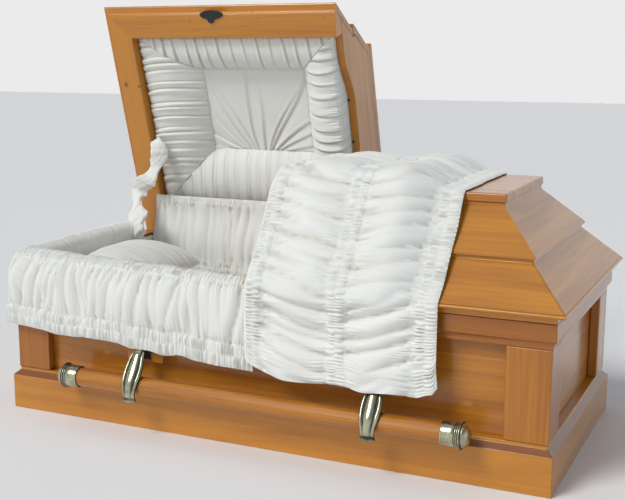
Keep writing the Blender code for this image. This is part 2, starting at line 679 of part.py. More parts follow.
def add_skirt():
    """Along the front of the head half and across the head end."""
    back_y = HALF_WIDTH - SKIRT_BACK_STOP

    def stop_back(outset, z):
        return Vector((-(HALF_LENGTH + outset), back_y, z))
    head_hem, split_hem = BODY_TOP - SKIRT_HEAD_DROP, BODY_TOP - SKIRT_SPLIT_DROP
    stations = [(cut(-SKIRT_SPLIT_STOP, -1), split_hem), (corner(-1, -1), head_hem), (stop_back, head_hem)]
    rings = [[place(outset, z) for outset, z in skirt_profile(hem)] for place, hem in stations]
    add_object("rim_skirt", loft(rings), "cloth")


def moved_out(route, distance):
    """The (y, z) route moved to its outer side by a distance, with mitred corners."""
    points = [Vector(point) for point in route]
    runs = [(far - near).normalized() for near, far in zip(points, points[1:])]
    moved = []
    for index, point in enumerate(points):
        meeting = runs[max(index - 1, 0):index + 1]
        normals = [Vector((run.y, -run.x)) for run in meeting]
        total = sum(normals[1:], normals[0]).normalized()
        away = point + total * (distance / total.dot(normals[0]))
        moved.append((away.x, away.y))
    return moved


def add_throw(hinge):
    """Cloth laid over the split end of the foot lid, hanging down its front."""
    front_lip = HALF_WIDTH + LIP_OUTSET
    step = HALF_WIDTH + UPPER_LIP_OUTSET
    top_edge = HALF_WIDTH + TOP_BOARD_OUTSET
    back_edge = HALF_WIDTH - THROW_BACK_INSET
    share = (back_edge - top_edge) / (step - top_edge)
    back_z = TOP_BOARD_TOP + (UPPER_LIP_TOP - TOP_BOARD_TOP) * share
    under = [(back_edge, back_z), (top_edge, TOP_BOARD_TOP), (-top_edge, TOP_BOARD_TOP),
             (-step, UPPER_LIP_TOP), (-front_lip, LIP_TOP), (-front_lip, LIP_TOP - THROW_DROP)]
    inner = moved_out(under, THROW_CLEARANCE)
    outer = moved_out(under, THROW_CLEARANCE + THROW_THICKNESS)
    start = SPLIT_HALF + THROW_SETBACK
    add_object("throw", prism_x(inner + outer[::-1], start, start + THROW_WIDTH), "cloth", hinge)


def add_head_lining(hinge):
    """Four padded rolls round a centre panel inside the head lid, mitred at the corners."""
    low = LID_BOTTOM + ROLL_RECESS
    high = low + ROLL_DEPTH
    inside = min(-RIM_INSET, lower_slope_back(high)) - ROLL_CLEARANCE
    head_x = -(HALF_LENGTH + inside)
    foot_x = -(SPLIT_HALF + SPLIT_BOARD_THICKNESS + ROLL_CLEARANCE)
    side_y = HALF_WIDTH + inside
    inner_x = (head_x + ROLL_HEAD_WIDTH, foot_x - ROLL_FOOT_WIDTH)
    inner_y = (-side_y + ROLL_FRONT_WIDTH, side_y - ROLL_BACK_WIDTH)
    outer = [(head_x, -side_y), (foot_x, -side_y), (foot_x, side_y), (head_x, side_y)]
    inner = [(inner_x[0], inner_y[0]), (inner_x[1], inner_y[0]), (inner_x[1], inner_y[1]), (inner_x[0], inner_y[1])]
    for index, side in enumerate(("front", "foot", "back", "head")):
        after = (index + 1) % len(outer)
        outline = [Vector(point) for point in (outer[index], outer[after], inner[after], inner[index])]
        middle = sum(outline[1:], outline[0]) / len(outline)
        pulled = [point + (middle - point).normalized() * 2 * ROLL_CLEARANCE for point in outline]
        roll = add_object(f"lid_roll_{side}", prism_z(pulled, low, high), "cloth", hinge)
        round_edges(roll, ROLL_ROUNDING)
    gap = 2 * ROLL_CLEARANCE
    panel = box((inner_x[0] + gap, inner_y[0] + gap, high - CENTRE_PANEL_THICKNESS),
                (inner_x[1] - gap, inner_y[1] - gap, high))
    add_object("lid_centre_panel", panel, "cloth", hinge)


def add_foot_lining(hinge):
    """A thin panel that closes the hollow of the foot lid."""
    bottom = RIM_INNER_TOP + FOOT_LINING_LIFT
    top = bottom + FOOT_LINING_THICKNESS
    outset = lower_slope_back(top) - 4 * GAP
    start = SPLIT_HALF + SPLIT_BOARD_THICKNESS + ROLL_CLEARANCE
    reach_y = HALF_WIDTH + outset
    panel = box((start, -reach_y, bottom), (HALF_LENGTH + outset, reach_y, top))
    add_object("foot_lid_lining", panel, "cloth", hinge)


def on_open_lid(reach, drop):
    """(y, z) of a point of the open lid: how far it is from the hinge axis, and how far under the rim."""
    lift = math.radians(LID_OPEN_ANGLE)
    y = HINGE_AXIS.y - reach * math.cos(lift) - drop * math.sin(lift)
    z = HINGE_AXIS.z + reach * math.sin(lift) - drop * math.cos(lift)
    return y, z


def add_apron():
    """Cloth behind the mattress that rises over the back rim into the open lid."""
    wall = HALF_WIDTH - LINING_INSIDE - 3 * GAP
    rim = HALF_WIDTH - BOARD_THICKNESS - 3 * GAP
    past_rail = on_open_lid(HINGE_AXIS.y - HALF_WIDTH + RIM_INSET, 3 * APRON_THICKNESS / 2)
    top = on_open_lid(APRON_RISE / math.sin(math.radians(LID_OPEN_ANGLE)), APRON_THICKNESS)
    back = [(wall, MATTRESS_TOP + 4 * GAP), (wall, BODY_TOP - LINING_TOP_DROP + GAP),
            (rim, BODY_TOP + APRON_THICKNESS / 2), past_rail, top]
    front = [(y - APRON_THICKNESS, z) for y, z in back]
    end_x = HALF_LENGTH - LINING_INSIDE - MATTRESS_CLEARANCE
    add_object("back_apron", prism_x(back + front[::-1], -end_x, -SKIRT_SPLIT_STOP), "cloth")


def add_sleeve():
    """The gathered sleeve over the lid support, from the lid's head rail down to the back corner of the rim."""
    top = Vector((-(HALF_LENGTH - RIM_INSET - SLEEVE_RADIUS),
                  *on_open_lid(SLEEVE_REACH, SLEEVE_RADIUS + SLEEVE_CLEARANCE)))
    foot = Vector((-(HALF_LENGTH + SLEEVE_RADIUS / 3), HALF_WIDTH - SLEEVE_FOOT_INSET, BODY_TOP + SLEEVE_RADIUS))
    run = (top - foot).normalized()
    across = run.cross(Vector((0, 1, 0))).normalized() * SLEEVE_RADIUS
    other = run.cross(across)
    turns = [math.radians(360) * i / SLEEVE_SIDES for i in range(SLEEVE_SIDES)]
    rings = [[end + across * math.cos(turn) + other * math.sin(turn) for turn in turns] for end in (foot, top)]
    add_object("support_sleeve", loft(rings), "cloth")


def lid_hinge(name, opened):
    """An empty on the hinge axis, turned by how far its lid stands open."""
    empty = bpy.data.objects.new(name, None)
    bpy.context.scene.collection.objects.link(empty)
    empty.location = HINGE_AXIS
    empty.rotation_euler = (-math.radians(opened), 0, 0)
    return empty


def main():
    clear_scene()
    head_hinge = lid_hinge("head_lid_axis", LID_OPEN_ANGLE)
    foot_hinge = lid_hinge("foot_lid_axis", 0.0)
    add_carcass()
    add_base()
    add_posts()
    add_cornice()
    add_lid("head_lid", -1, head_hinge)
    add_lid("foot_lid", 1, foot_hinge)
    for name, side_x, axis in (("head", -1, head_hinge), ("foot", 1, foot_hinge)):
        add_hinge_leaf(f"{name}_hinge_body_leaf", side_x * LID_MIDDLE, False, None)
        add_hinge_leaf(f"{name}_hinge_lid_leaf", side_x * LID_MIDDLE, True, axis)
    add_catch(head_hinge)
    add_handle("front", -1)
    add_handle("back", 1)
    add_bedding()
    add_body_lining()
    add_skirt()
    add_throw(foot_hinge)
    add_head_lining(head_hinge)
    add_foot_lining(foot_hinge)
    add_apron()
    add_sleeve()


main()
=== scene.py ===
"""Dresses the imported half-couch casket: stained wood, antique brass and shirred crepe, on a pale stage.

Metres, +Z up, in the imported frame: head end at -X, front at -Y, underside at Z 0.
Cloth is made as dense grids. On each, s runs across the folds and t runs along them.
"""
import json
import math

import bmesh
import bpy
import numpy as np
from bpy.props import FloatProperty, FloatVectorProperty, IntProperty, PointerProperty
from mathutils import Matrix, Vector


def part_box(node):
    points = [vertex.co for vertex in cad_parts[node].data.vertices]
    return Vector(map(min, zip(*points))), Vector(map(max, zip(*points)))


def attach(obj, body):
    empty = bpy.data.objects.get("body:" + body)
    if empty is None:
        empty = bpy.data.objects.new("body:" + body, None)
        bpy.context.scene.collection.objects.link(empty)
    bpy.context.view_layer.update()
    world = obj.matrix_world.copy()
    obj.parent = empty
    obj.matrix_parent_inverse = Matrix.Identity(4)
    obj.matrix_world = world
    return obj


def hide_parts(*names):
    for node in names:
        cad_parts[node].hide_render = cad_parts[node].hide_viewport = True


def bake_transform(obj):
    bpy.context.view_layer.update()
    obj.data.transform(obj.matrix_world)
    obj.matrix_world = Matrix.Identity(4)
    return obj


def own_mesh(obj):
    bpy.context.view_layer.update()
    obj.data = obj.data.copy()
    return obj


bl_info = {
    "name": "Half-couch casket",
    "version": (1, 0, 0),
    "blender": (4, 5, 0),
    "location": "3D View > Sidebar > Casket",
    "description": "Dresses the packed casket in stained wood, antique brass and shirred crepe",
    "category": "Add Mesh",
}

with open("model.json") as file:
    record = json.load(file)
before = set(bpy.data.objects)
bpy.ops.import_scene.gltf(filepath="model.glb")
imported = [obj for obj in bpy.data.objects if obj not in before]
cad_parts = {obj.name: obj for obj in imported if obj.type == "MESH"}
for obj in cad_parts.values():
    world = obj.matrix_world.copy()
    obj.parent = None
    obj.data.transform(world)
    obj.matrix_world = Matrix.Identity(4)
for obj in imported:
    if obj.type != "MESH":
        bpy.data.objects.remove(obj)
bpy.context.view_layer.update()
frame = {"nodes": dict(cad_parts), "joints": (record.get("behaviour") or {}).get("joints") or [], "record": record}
NODES = frame["nodes"]
JOINTS = {joint["name"]: joint for joint in frame["joints"]}

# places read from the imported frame
HINGE = Vector(JOINTS["foot_lid_hinge"]["pos_m"])
OPEN_ANGLE = math.radians(max(JOINTS["foot_lid_hinge"]["range_deg"]))
HALF_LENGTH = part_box("front_board")[1].x
HALF_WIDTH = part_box("back_board")[1].y
BODY_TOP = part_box("cornice_front")[1].z
CORNICE_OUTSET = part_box("cornice_back")[1].y - HALF_WIDTH
LID_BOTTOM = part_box("foot_lid_rim")[0].z
RIM_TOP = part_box("foot_lid_rim")[1].z
LIP_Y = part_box("foot_lid_rim")[1].y
TOP_BOARD_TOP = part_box("foot_lid_top_board")[1].z
SPLIT_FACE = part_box("foot_lid_split_board")[1].x

# wood: the knots of the open lid as (x, y, radius), in the closed lid's place
LID_KNOTS = ((-0.700, -0.130, 0.0085), (-0.655, -0.125, 0.006), (-0.375, -0.318, 0.007),
             (-0.445, -0.320, 0.003), (-0.250, -0.340, 0.003), (-0.228, -0.325, 0.0025),
             (-0.030, -0.325, 0.003))
# the axes along the grain, across it and into the board
GRAINS = {"x": (0, 1, 2), "y": (1, 0, 2), "z": (2, 0, 1)}
# how much darker the pieces with these words in their names are stained
STAINS = {"cornice": 0.50, "post": 0.42, "handle_bar": 0.40, "lid_rim": -0.26, "lid_upper": 0.07,
          "board": 0.06, "base_rail": -0.10}
# heights on the front and back boards above and below which shade is painted in: under the cornice, and along the
# lowest band
CORNICE_SHADE_FROM, LOW_SHADE_TO = 0.286, 0.186
# how far the milled edge of a base rail reaches below its top
CHAMFER_FROM, CHAMFER_TO = 0.020, 0.007
SAME_POINT = 0.00001
SAWN_ANGLE = math.radians(28)
TURNED_ANGLE = math.radians(40)

# stage
CAMERA_PLACE = Vector((1.172, -2.6188, 0.9686))
CAMERA_AIM = Vector((-0.0853, -0.0627, 0.4249))
CAMERA_ROLL = math.radians(0.256)
CAMERA_LENS = 64.03
CAMERA_SHIFT = (0.0676, 0.0043)
SENSOR_WIDTH = 36.0
KEY_DIRECTION = Vector((0.38, 0.66, -0.80))
KEY_SPREAD = math.radians(24)
SOFTBOX_PLACE = Vector((0.4, -0.4, 4.0))
SOFTBOX_AIM = Vector((0.0, 0.0, 0.4))
SOFTBOX_SIZE = (2.6, 2.0)
FLOOR_SIZE = 30.0
FLOOR_LEVEL = -0.0005

# cloth: its thickness, how many rows of the front grid make one of the back, the colour between
# its threads, and the angle past which its folds are shaded sharp
CLOTH_THICKNESS = 0.0014
BACK_STEP = 4
WEAVE_SHADE = (0.50, 0.49, 0.45)
FOLD_ANGLE = math.radians(80)

# throw: its width, and the (start, stop) of its three shirred bands
THROW_WIDTH = 0.462
THROW_BANDS = ((0.003, 0.048), (0.210, 0.256), (THROW_WIDTH - 0.052, THROW_WIDTH - 0.002))

# lid padding: how far the lid's frame reaches in from the walls, and where the rolls meet the centre panel
RIM_INSET = 0.034
PANEL_EDGE = {"head": -0.468, "foot": -0.140, "front": -0.158, "back": 0.092}


class CasketWood(bpy.types.PropertyGroup):
    """Colours and sizes of the stained wood."""
    light: FloatVectorProperty(name="Light stain", description="Colour of the pale growth", subtype="COLOR",
                               default=(0.560, 0.225, 0.020))
    dark: FloatVectorProperty(name="Dark stain", description="Colour of the dark growth", subtype="COLOR",
                              default=(0.330, 0.105, 0.009))
    edge: FloatVectorProperty(name="Milled edge", description="Colour of the milled chamfers",
                              subtype="COLOR", default=(0.150, 0.038, 0.016))
    knot: FloatVectorProperty(name="Knot", description="Colour of knots and pin holes", subtype="COLOR",
                              default=(0.120, 0.045, 0.016))
    roughness: FloatProperty(name="Roughness", description="Roughness of the satin lacquer", default=0.36)
    stave: FloatProperty(name="Stave width", description="Width of the staves glued into one board",
                         default=0.068, unit="LENGTH")
    ease: FloatProperty(name="Eased edge", description="Rounding of sawn edges", default=0.0013,
                        unit="LENGTH")


class CasketMetal(bpy.types.PropertyGroup):
    """Colours of the metals."""
    brass: FloatVectorProperty(name="Rubbed brass", description="Colour where the brass is rubbed bright",
                               subtype="COLOR", default=(0.560, 0.545, 0.380))
    patina: FloatVectorProperty(name="Patina", description="Colour of the darkened brass in the grooves",
                                subtype="COLOR", default=(0.060, 0.060, 0.045))
    steel: FloatVectorProperty(name="Hinge steel", description="Colour of the plated hinges", subtype="COLOR",
                               default=(0.450, 0.420, 0.360))
    plate: FloatVectorProperty(name="Catch plate", description="Colour of the painted catch plate",
                               subtype="COLOR", default=(0.006, 0.011, 0.014))


class CasketCloth(bpy.types.PropertyGroup):
    """Colours of the cloth and of the shade painted into its folds, and the layout of its folds."""
    ridge: FloatVectorProperty(name="Crepe", description="Colour of the cloth on its ridges", subtype="COLOR",
                               default=(0.795, 0.802, 0.762))
    # painted shade: the darker, creamier colour laid into the cloth's folds
    fold_shade: FloatVectorProperty(name="Crepe in folds", description="Colour of the cloth down in its folds",
                                subtype="COLOR", default=(0.660, 0.635, 0.545))
    seed: IntProperty(name="Seed", description="Picks another layout of folds", default=7)


class CasketStage(bpy.types.PropertyGroup):
    """The floor and the lights."""
    floor: FloatVectorProperty(name="Floor", description="Colour of the floor", subtype="COLOR",
                               default=(0.90, 0.90, 0.90))
    key: FloatProperty(name="Key light", description="Strength of the broad light from the front left",
                       default=1.90)
    overhead: FloatProperty(name="Overhead light", description="Power of the softbox above", default=6.0,
                            unit="POWER")
    world: FloatProperty(name="Surroundings", description="Strength of the even light", default=0.83)


class Wire:
    """A socket that can be used in arithmetic; each step adds its Math node."""

    def __init__(self, paint, socket):
        self.paint = paint
        self.socket = socket

    def __add__(self, other):
        return self.paint.math("ADD", self, other)

    def __sub__(self, other):
        return self.paint.math("SUBTRACT", self, other)

    def __rsub__(self, other):
        return self.paint.math("SUBTRACT", other, self)

    def __mul__(self, other):
        return self.paint.math("MULTIPLY", self, other)

    def __truediv__(self, other):
        return self.paint.math("DIVIDE", self, other)

    def __rtruediv__(self, other):
        return self.paint.math("DIVIDE", other, self)

    def __pow__(self, other):
        return self.paint.math("POWER", self, other)

    def __gt__(self, other):
        return self.paint.math("GREATER_THAN", self, other)

    def __lt__(self, other):
        return self.paint.math("LESS_THAN", self, other)

    def __abs__(self):
        return self.paint.math("ABSOLUTE", self)

    __radd__ = __add__
    __rmul__ = __mul__


class Paint:
    """One material: a Principled shader, and the nodes that expressions add to it."""

    def __init__(self, name):
        self.material = bpy.data.materials.new(name)
        self.material.use_nodes = True
        self.tree = self.material.node_tree
        self.shader = self.tree.nodes["Principled BSDF"]

    def add(self, kind, settings=None, inputs=None, out=0):
        """Adds a node, and gives back one of its outputs."""
        node = self.tree.nodes.new("ShaderNode" + kind)
        for key, value in (settings or {}).items():
            if key == "stops":
                self.set_stops(node.color_ramp, value)
            else:
                setattr(node, key, value)
        for key, value in (inputs or {}).items():
            self.feed(node.inputs[key], value)
        return Wire(self, node.outputs[out])

    def set_stops(self, ramp, stops):
        """Gives a colour ramp its (place, level) stops."""
        while len(ramp.elements) < len(stops):
            ramp.elements.new(0.5)
        for element, (place, level) in zip(ramp.elements, stops):
            element.position = place
            element.color = (level, level, level, 1.0)

    def feed(self, socket, value):
        """Links a wire to a socket, or sets the socket's value."""
        if isinstance(value, Wire):
            self.tree.links.new(value.socket, socket)
        elif hasattr(value, "__len__") and len(value) == 3 and socket.type == "RGBA":
            socket.default_value = (*value, 1.0)
        else:
            socket.default_value = value

    def math(self, operation, *values):
        """One Math node."""
        return self.add("Math", {"operation": operation}, dict(enumerate(values)))

    def mix(self, share, first, second):
        """Mixes two colours."""
        settings = {"data_type": "RGBA", "blend_type": "MIX", "clamp_factor": True}
        return self.add("Mix", settings, {0: share, 6: first, 7: second}, out=2)

    def place(self):
        """Object coordinates."""
        return self.add("TexCoord", out="Object")

    def split(self, vector):
        """The x, y and z of a vector."""
        node = self.add("SeparateXYZ", inputs={0: vector}).socket.node
        return [Wire(self, socket) for socket in node.outputs]

    def join(self, x, y, z):
        """A vector of three values."""
        return self.add("CombineXYZ", inputs={0: x, 1: y, 2: z})

    def noise(self, vector, scale, detail=2.0, roughness=0.5):
        """Noise from 0 to 1."""
        inputs = {"Vector": vector, "Scale": scale, "Detail": detail, "Roughness": roughness}
        return self.add("TexNoise", None, inputs, out="Fac")

    def ramp(self, value, *stops):
        """A grey ramp through (place, level) stops."""
        return self.add("ValToRGB", {"stops": stops}, {0: value})

    def bump(self, height, strength, distance):
        """Feeds a bump to the shader's normal."""
        normal = self.add("Bump", None, {"Strength": strength, "Distance": distance, "Height": height})
        self.feed(self.shader.inputs["Normal"], normal)

    def finish(self, **sockets):
        """Feeds the shader's own sockets, named in lower case, and gives back the material."""
        for name, value in sockets.items():
            self.feed(self.shader.inputs[name.replace("_", " ").title().replace("Ior", "IOR")], value)
        return self.material


def look():
    """The settings of wood, metal and cloth."""
    scene = bpy.context.scene
    return scene.casket_wood, scene.casket_metal, scene.casket_cloth


def dress(thing, material):
    """Gives an object one material."""
    thing.data.materials.clear()
    thing.data.materials.append(material)


def opened(points):
    """Turns points of the closed head lid to where it stands open."""
    points = np.asarray(points, float)
    away = points - np.array(HINGE)
    cos, sin = math.cos(OPEN_ANGLE), math.sin(OPEN_ANGLE)
    y = HINGE.y + away[..., 1] * cos + away[..., 2] * sin
    z = HINGE.z - away[..., 1] * sin + away[..., 2] * cos
    return np.stack([points[..., 0], y, z], axis=-1)


# wood

def grain_of(node):
    """Which way the grain of a wooden node runs; a mitred ring of boards turns with its sides."""
    if "post" in node or "block" in node:
        return "z"
    if "rim" in node or "slope" in node:
        return "ring"
    crosswise = node in ("head_board", "foot_board") or "split_board" in node
    if crosswise or node.startswith(("base_rail", "cornice")) and node.endswith(("_head", "_foot")):
        return "y"
    return "x"


def tone_of(node):
    """How much darker than a plain slope board a piece is stained."""
    return sum(tone for part, tone in STAINS.items() if part in node)


def stained_wood(name, grain, seed, on_open_lid, knots=(), milled=None):
    """Honey-stained softwood: staves of slightly different tone, growth bands, fine grain, knots; on the front and
    back boards, painted shade under the cornice and along the lowest band.
    """
    wood, _, _ = look()
    paint = Paint(name)
    place = paint.place()
    if on_open_lid:
        turn = {"Vector": place, "Center": HINGE, "Angle": OPEN_ANGLE}
        place = paint.add("VectorRotate", {"rotation_type": "X_AXIS"}, turn)
    axes = paint.split(place)
    if grain == "ring":
        x, y, depth = axes
        on_end = (abs(x) - HALF_LENGTH) > (abs(y) - HALF_WIDTH)
        along = x + on_end * (y - x)
        across = y + on_end * (x - y)
    else:
        along, across, depth = [axes[index] for index in GRAINS[grain]]
    sway = paint.noise(paint.join(along * 1.6 + seed * 5.1, across * 7, depth * 7), 1.0, 2.0)
    growth = paint.join(along * 1.1 + seed * 3.7, across * 34 + sway * 3.0, depth * 34 + sway * 2.0)
    bands = paint.noise(growth, 1.0, 3.0, 0.55)
    grain_lines = paint.noise(paint.join(along * 9 + seed, across * 430, depth * 430), 1.0, 2.0, 0.6)
    threads = paint.join(along * 4.5 + seed * 1.9, across * 135 + sway * 4.0, depth * 135)
    fibres = paint.noise(threads, 1.0, 2.0, 0.6)
    cloudy = paint.noise(paint.join(along * 2.3, across * 5 + seed * 2.3, depth * 5), 1.0, 2.0)
    stave_number = paint.math("FLOOR", (across + depth * 0.35) / wood.stave + seed * 0.37)
    stave = paint.add("TexWhiteNoise", {"noise_dimensions": "1D"}, {"W": stave_number + seed * 11},
                      out="Value")
    darkness = (paint.ramp(bands, (0.34, 0.0), (0.72, 1.0)) * 0.55 + stave * 0.34
                + (grain_lines - 0.5) * 0.45 + (fibres - 0.5) * 0.75 + (cloudy - 0.5) * 0.5
                - 0.04 + tone_of(name))
    # painted shade: the front and back boards are darker under the cornice and along their lowest band
    if name.startswith(("front_board", "back_board")):
        cornice_shade = axes[2] > CORNICE_SHADE_FROM
        low_shade = axes[2] < LOW_SHADE_TO
        darkness = darkness + cornice_shade * 0.42 + low_shade * 0.30
    darkness = paint.math("MINIMUM", paint.math("MAXIMUM", darkness, 0.0), 1.0)
    colour = paint.mix(darkness, wood.light, wood.dark)
    for knot_x, knot_y, radius in knots:
        near = paint.math("SQRT", (axes[0] - knot_x) ** 2.0 + ((axes[1] - knot_y) * 0.8) ** 2.0) / radius
        spot = paint.ramp(near + (grain_lines - 0.5) * 0.3, (0.35, 1.0), (1.0, 0.0))
        colour = paint.mix(spot * 0.8, colour, wood.knot)
    if milled is not None:
        low, high = milled
        edge = paint.ramp(abs(axes[2] - (low + high) / 2) / (high - low), (0.48, 1.0), (0.56, 0.0))
        colour = paint.mix(edge * 0.75, colour, wood.edge)
    paint.bump(grain_lines * 0.5 + bands * 0.5, 0.12, 0.0006)
    turned = "bar" in name
    return paint.finish(base_color=colour, roughness=wood.roughness + (bands - 0.5) * 0.12,
                        specular_ior_level=0.30, coat_weight=0.65 if turned else 0.75,
                        coat_roughness=0.17 if turned else 0.13, ior=1.46)


def ease_edges(thing, width):
    """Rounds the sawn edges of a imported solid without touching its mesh."""
    weld = thing.modifiers.new("one skin", "WELD")
    weld.merge_threshold = SAME_POINT
    bevel = thing.modifiers.new("eased edges", "BEVEL")
    bevel.width = width
    bevel.segments = 2
    bevel.limit_method = "ANGLE"
    bevel.angle_limit = SAWN_ANGLE
    bevel.use_clamp_overlap = True
    bevel.harden_normals = True


class CASKET_OT_woodwork(bpy.types.Operator):
    """Stains every board, rail, post, lid and handle bar, and eases their edges"""
    bl_idname = "casket.woodwork"
    bl_label = "Woodwork"

    def execute(self, context):
        wood, _, _ = look()
        slots = {part["node"]: part["material_slot"] for part in frame["record"]["subparts"]}
        rail_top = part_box("base_rail_front")[1].z
        chamfer = (rail_top - CHAMFER_FROM, rail_top - CHAMFER_TO)
        for seed, node in enumerate(sorted(NODES)):
            if slots[node] != "stained_wood":
                continue
            thing = NODES[node]
            on_open_lid = node.startswith("head_lid")
            knots = LID_KNOTS if node == "head_lid_rim" else ()
            milled = chamfer if node.startswith("base_rail") else None
            dress(thing, stained_wood(f"{node} stain", grain_of(node), seed, on_open_lid, knots, milled))
            if "bar" in node:
                thing.data.shade_smooth()
                thing.data.set_sharp_from_angle(angle=TURNED_ANGLE)
            else:
                rounder = 2.4 if "_lid_" in node and "split" not in node else 1.0
                ease_edges(thing, wood.ease * rounder)
        return {"FINISHED"}


# metal

def aged_brass(name):
    """Brass that is rubbed bright on its ridges and dark where the mesh is marked as a groove."""
    _, metal, _ = look()
    paint = Paint(name)
    groove = paint.add("Attribute", {"attribute_name": "groove"}, out="Fac")
    place = paint.place()
    cloud = paint.noise(place, 38.0, 4.0, 0.6)
    stretched = [axis * scale for axis, scale in zip(paint.split(place), (60, 260, 260))]
    streak = paint.noise(paint.join(*stretched), 1.0, 2.0)
    dark = paint.math("MINIMUM", groove * 1.1 + paint.ramp(cloud, (0.42, 0.0), (0.75, 0.55)), 1.0)
    colour = paint.mix(dark, metal.brass, metal.patina)
    paint.bump(streak, 0.08, 0.0004)
    return paint.finish(base_color=colour, metallic=1.0, roughness=dark * 0.22 + streak * 0.10 + 0.18)


def plain_metal(name, colour, metallic, roughness):
    """Plated or painted metal, slightly cloudy."""
    paint = Paint(name)
    cloud = paint.noise(paint.place(), 90.0, 3.0)
    shade = paint.mix(cloud * 0.5, colour, [level * 0.6 for level in colour])
    paint.bump(cloud, 0.05, 0.0003)
    return paint.finish(base_color=shade, metallic=metallic, roughness=cloud * 0.2 + roughness)


def mesh_object(name, vertices, faces, material, body, groove=None, smooth=True):
    """A finished piece, with one material, that rides on a body."""
    mesh = bpy.data.meshes.new(name)
    mesh.from_pydata(np.asarray(vertices, float).tolist(), [], faces)
    # the groove mark: patina in the brass's hollows; on cloth, the share of painted shade in its folds
    if groove is not None:
        marks = mesh.attributes.new("groove", "FLOAT", "POINT")
        marks.data.foreach_set("value", np.asarray(groove, np.float32))
    mesh.validate()
    thing = bpy.data.objects.new(name, mesh)
    bpy.context.scene.collection.objects.link(thing)
    mesh.materials.append(material)
    if smooth:
        mesh.shade_smooth()
    if body is not None:
        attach(thing, body)
    return thing


def ring_faces(rows, count):
    """Quads between closed rings of count vertices each, rows rings in all."""
    faces = []
    for row in range(rows - 1):
        for i in range(count):
            j = (i + 1) % count
            faces.append((row * count + i, row * count + j, (row + 1) * count + j, (row + 1) * count + i))
    return faces


def lathe(name, profile, place, direction, material, body, sides=64):
    """Turns (along, radius, groove) points about the X direction; it is closed by a cap at each end."""
    vertices, groove = [], []
    for along, radius, dark in profile:
        for i in range(sides):
            turn = 2 * math.pi * i / sides
            vertices.append((place[0] + direction * along, place[1] + radius * math.cos(turn),
                             place[2] + radius * math.sin(turn)))
            groove.append(dark)
    faces = ring_faces(len(profile), sides)
    faces.append(tuple(range(sides)))
    faces.append(tuple(range((len(profile) - 1) * sides, len(profile) * sides)))
    thing = mesh_object(name, vertices, faces, material, body, groove)
    outward(thing)
    return thing


def outward(thing):
    """Points every face of a closed mesh outwards."""
    build = bmesh.new()
    build.from_mesh(thing.data)
    bmesh.ops.recalc_face_normals(build, faces=build.faces)
    build.to_mesh(thing.data)
    build.free()


def rounded(points, steps, tension=0.5):
    """A smooth curve through points, as an array with steps samples for each stretch."""
    points = np.asarray(points, float)
    ends = np.vstack([2 * points[0] - points[1], points, 2 * points[-1] - points[-2]])
    out = []
    for before, start, stop, after in zip(ends, ends[1:], ends[2:], ends[3:]):
        u = np.linspace(0, 1, steps, endpoint=False)[:, None]
        lead, trail = (stop - before) * tension, (after - start) * tension
        out.append(start * (2 * u ** 3 - 3 * u ** 2 + 1) + lead * (u ** 3 - 2 * u ** 2 + u)
                   + stop * (3 * u ** 2 - 2 * u ** 3) + trail * (u ** 3 - u ** 2))
    out.append(points[-1:])
    return np.vstack(out)


def even(route, count):
    """The route again, with count points at even distances; its length comes too."""
    lengths = np.concatenate([[0.0], np.cumsum(np.linalg.norm(np.diff(route, axis=0), axis=1))])
    at = np.linspace(0, lengths[-1], count)
    spaced = [np.interp(at, lengths, route[:, axis]) for axis in range(route.shape[1])]
    return np.stack(spaced, 1), lengths[-1]


def smoothed(rows, times):
    """The rows again, each drawn towards its two neighbours a number of times; the ends stay."""
    rows = rows.copy()
    for _ in range(times):
        rows[1:-1] = (rows[:-2] + 2 * rows[1:-1] + rows[2:]) / 4
    return rows


def directions(rows):
    """Unit vectors along a route."""
    ahead = np.gradient(rows, axis=0)
    return ahead / np.linalg.norm(ahead, axis=1)[:, None]


def cap_profile(bar_radius, ring_radius, length):
    """(along, radius, groove) of a bar's end cap: plain barrel, stepped rings, low dome."""
    barrel = bar_radius + 0.0036
    profile = [(0.0, bar_radius - 0.001, 1.0), (0.0, barrel - 0.0012, 0.5), (0.0010, barrel, 0.0),
               (0.0030, barrel + 0.0003, 0.0), (0.0042, barrel - 0.0003, 0.5), (0.0056, barrel - 0.0001, 0.1),
               (0.0200, barrel + 0.0008, 0.0), (0.0310, barrel + 0.0016, 0.0), (0.0322, barrel + 0.0006, 0.9)]
    for along, below in ((0.0328, 0.0026), (0.0372, 0.0012), (0.0418, 0.0000)):
        radius = ring_radius - below
        profile += [(along, radius - 0.0022, 1.0), (along + 0.0007, radius - 0.0004, 0.3),
                    (along + 0.0016, radius, 0.0), (along + 0.0028, radius - 0.0002, 0.0),
                    (along + 0.0036, radius - 0.0010, 0.4), (along + 0.0042, radius - 0.0026, 1.0)]
    dome, start = ring_radius - 0.0052, 0.0466
    profile += [(start, dome, 1.0), (start + 0.0008, dome + 0.0002, 0.2)]
    spring, steps = start + 0.0010, 12
    for step in range(1, steps):
        turn = math.pi / 2 * step / steps
        profile.append((spring + (length - spring) * math.sin(turn), dome * math.cos(turn), 0.0))
    profile.append((length, 0.0004, 0.0))
    return profile


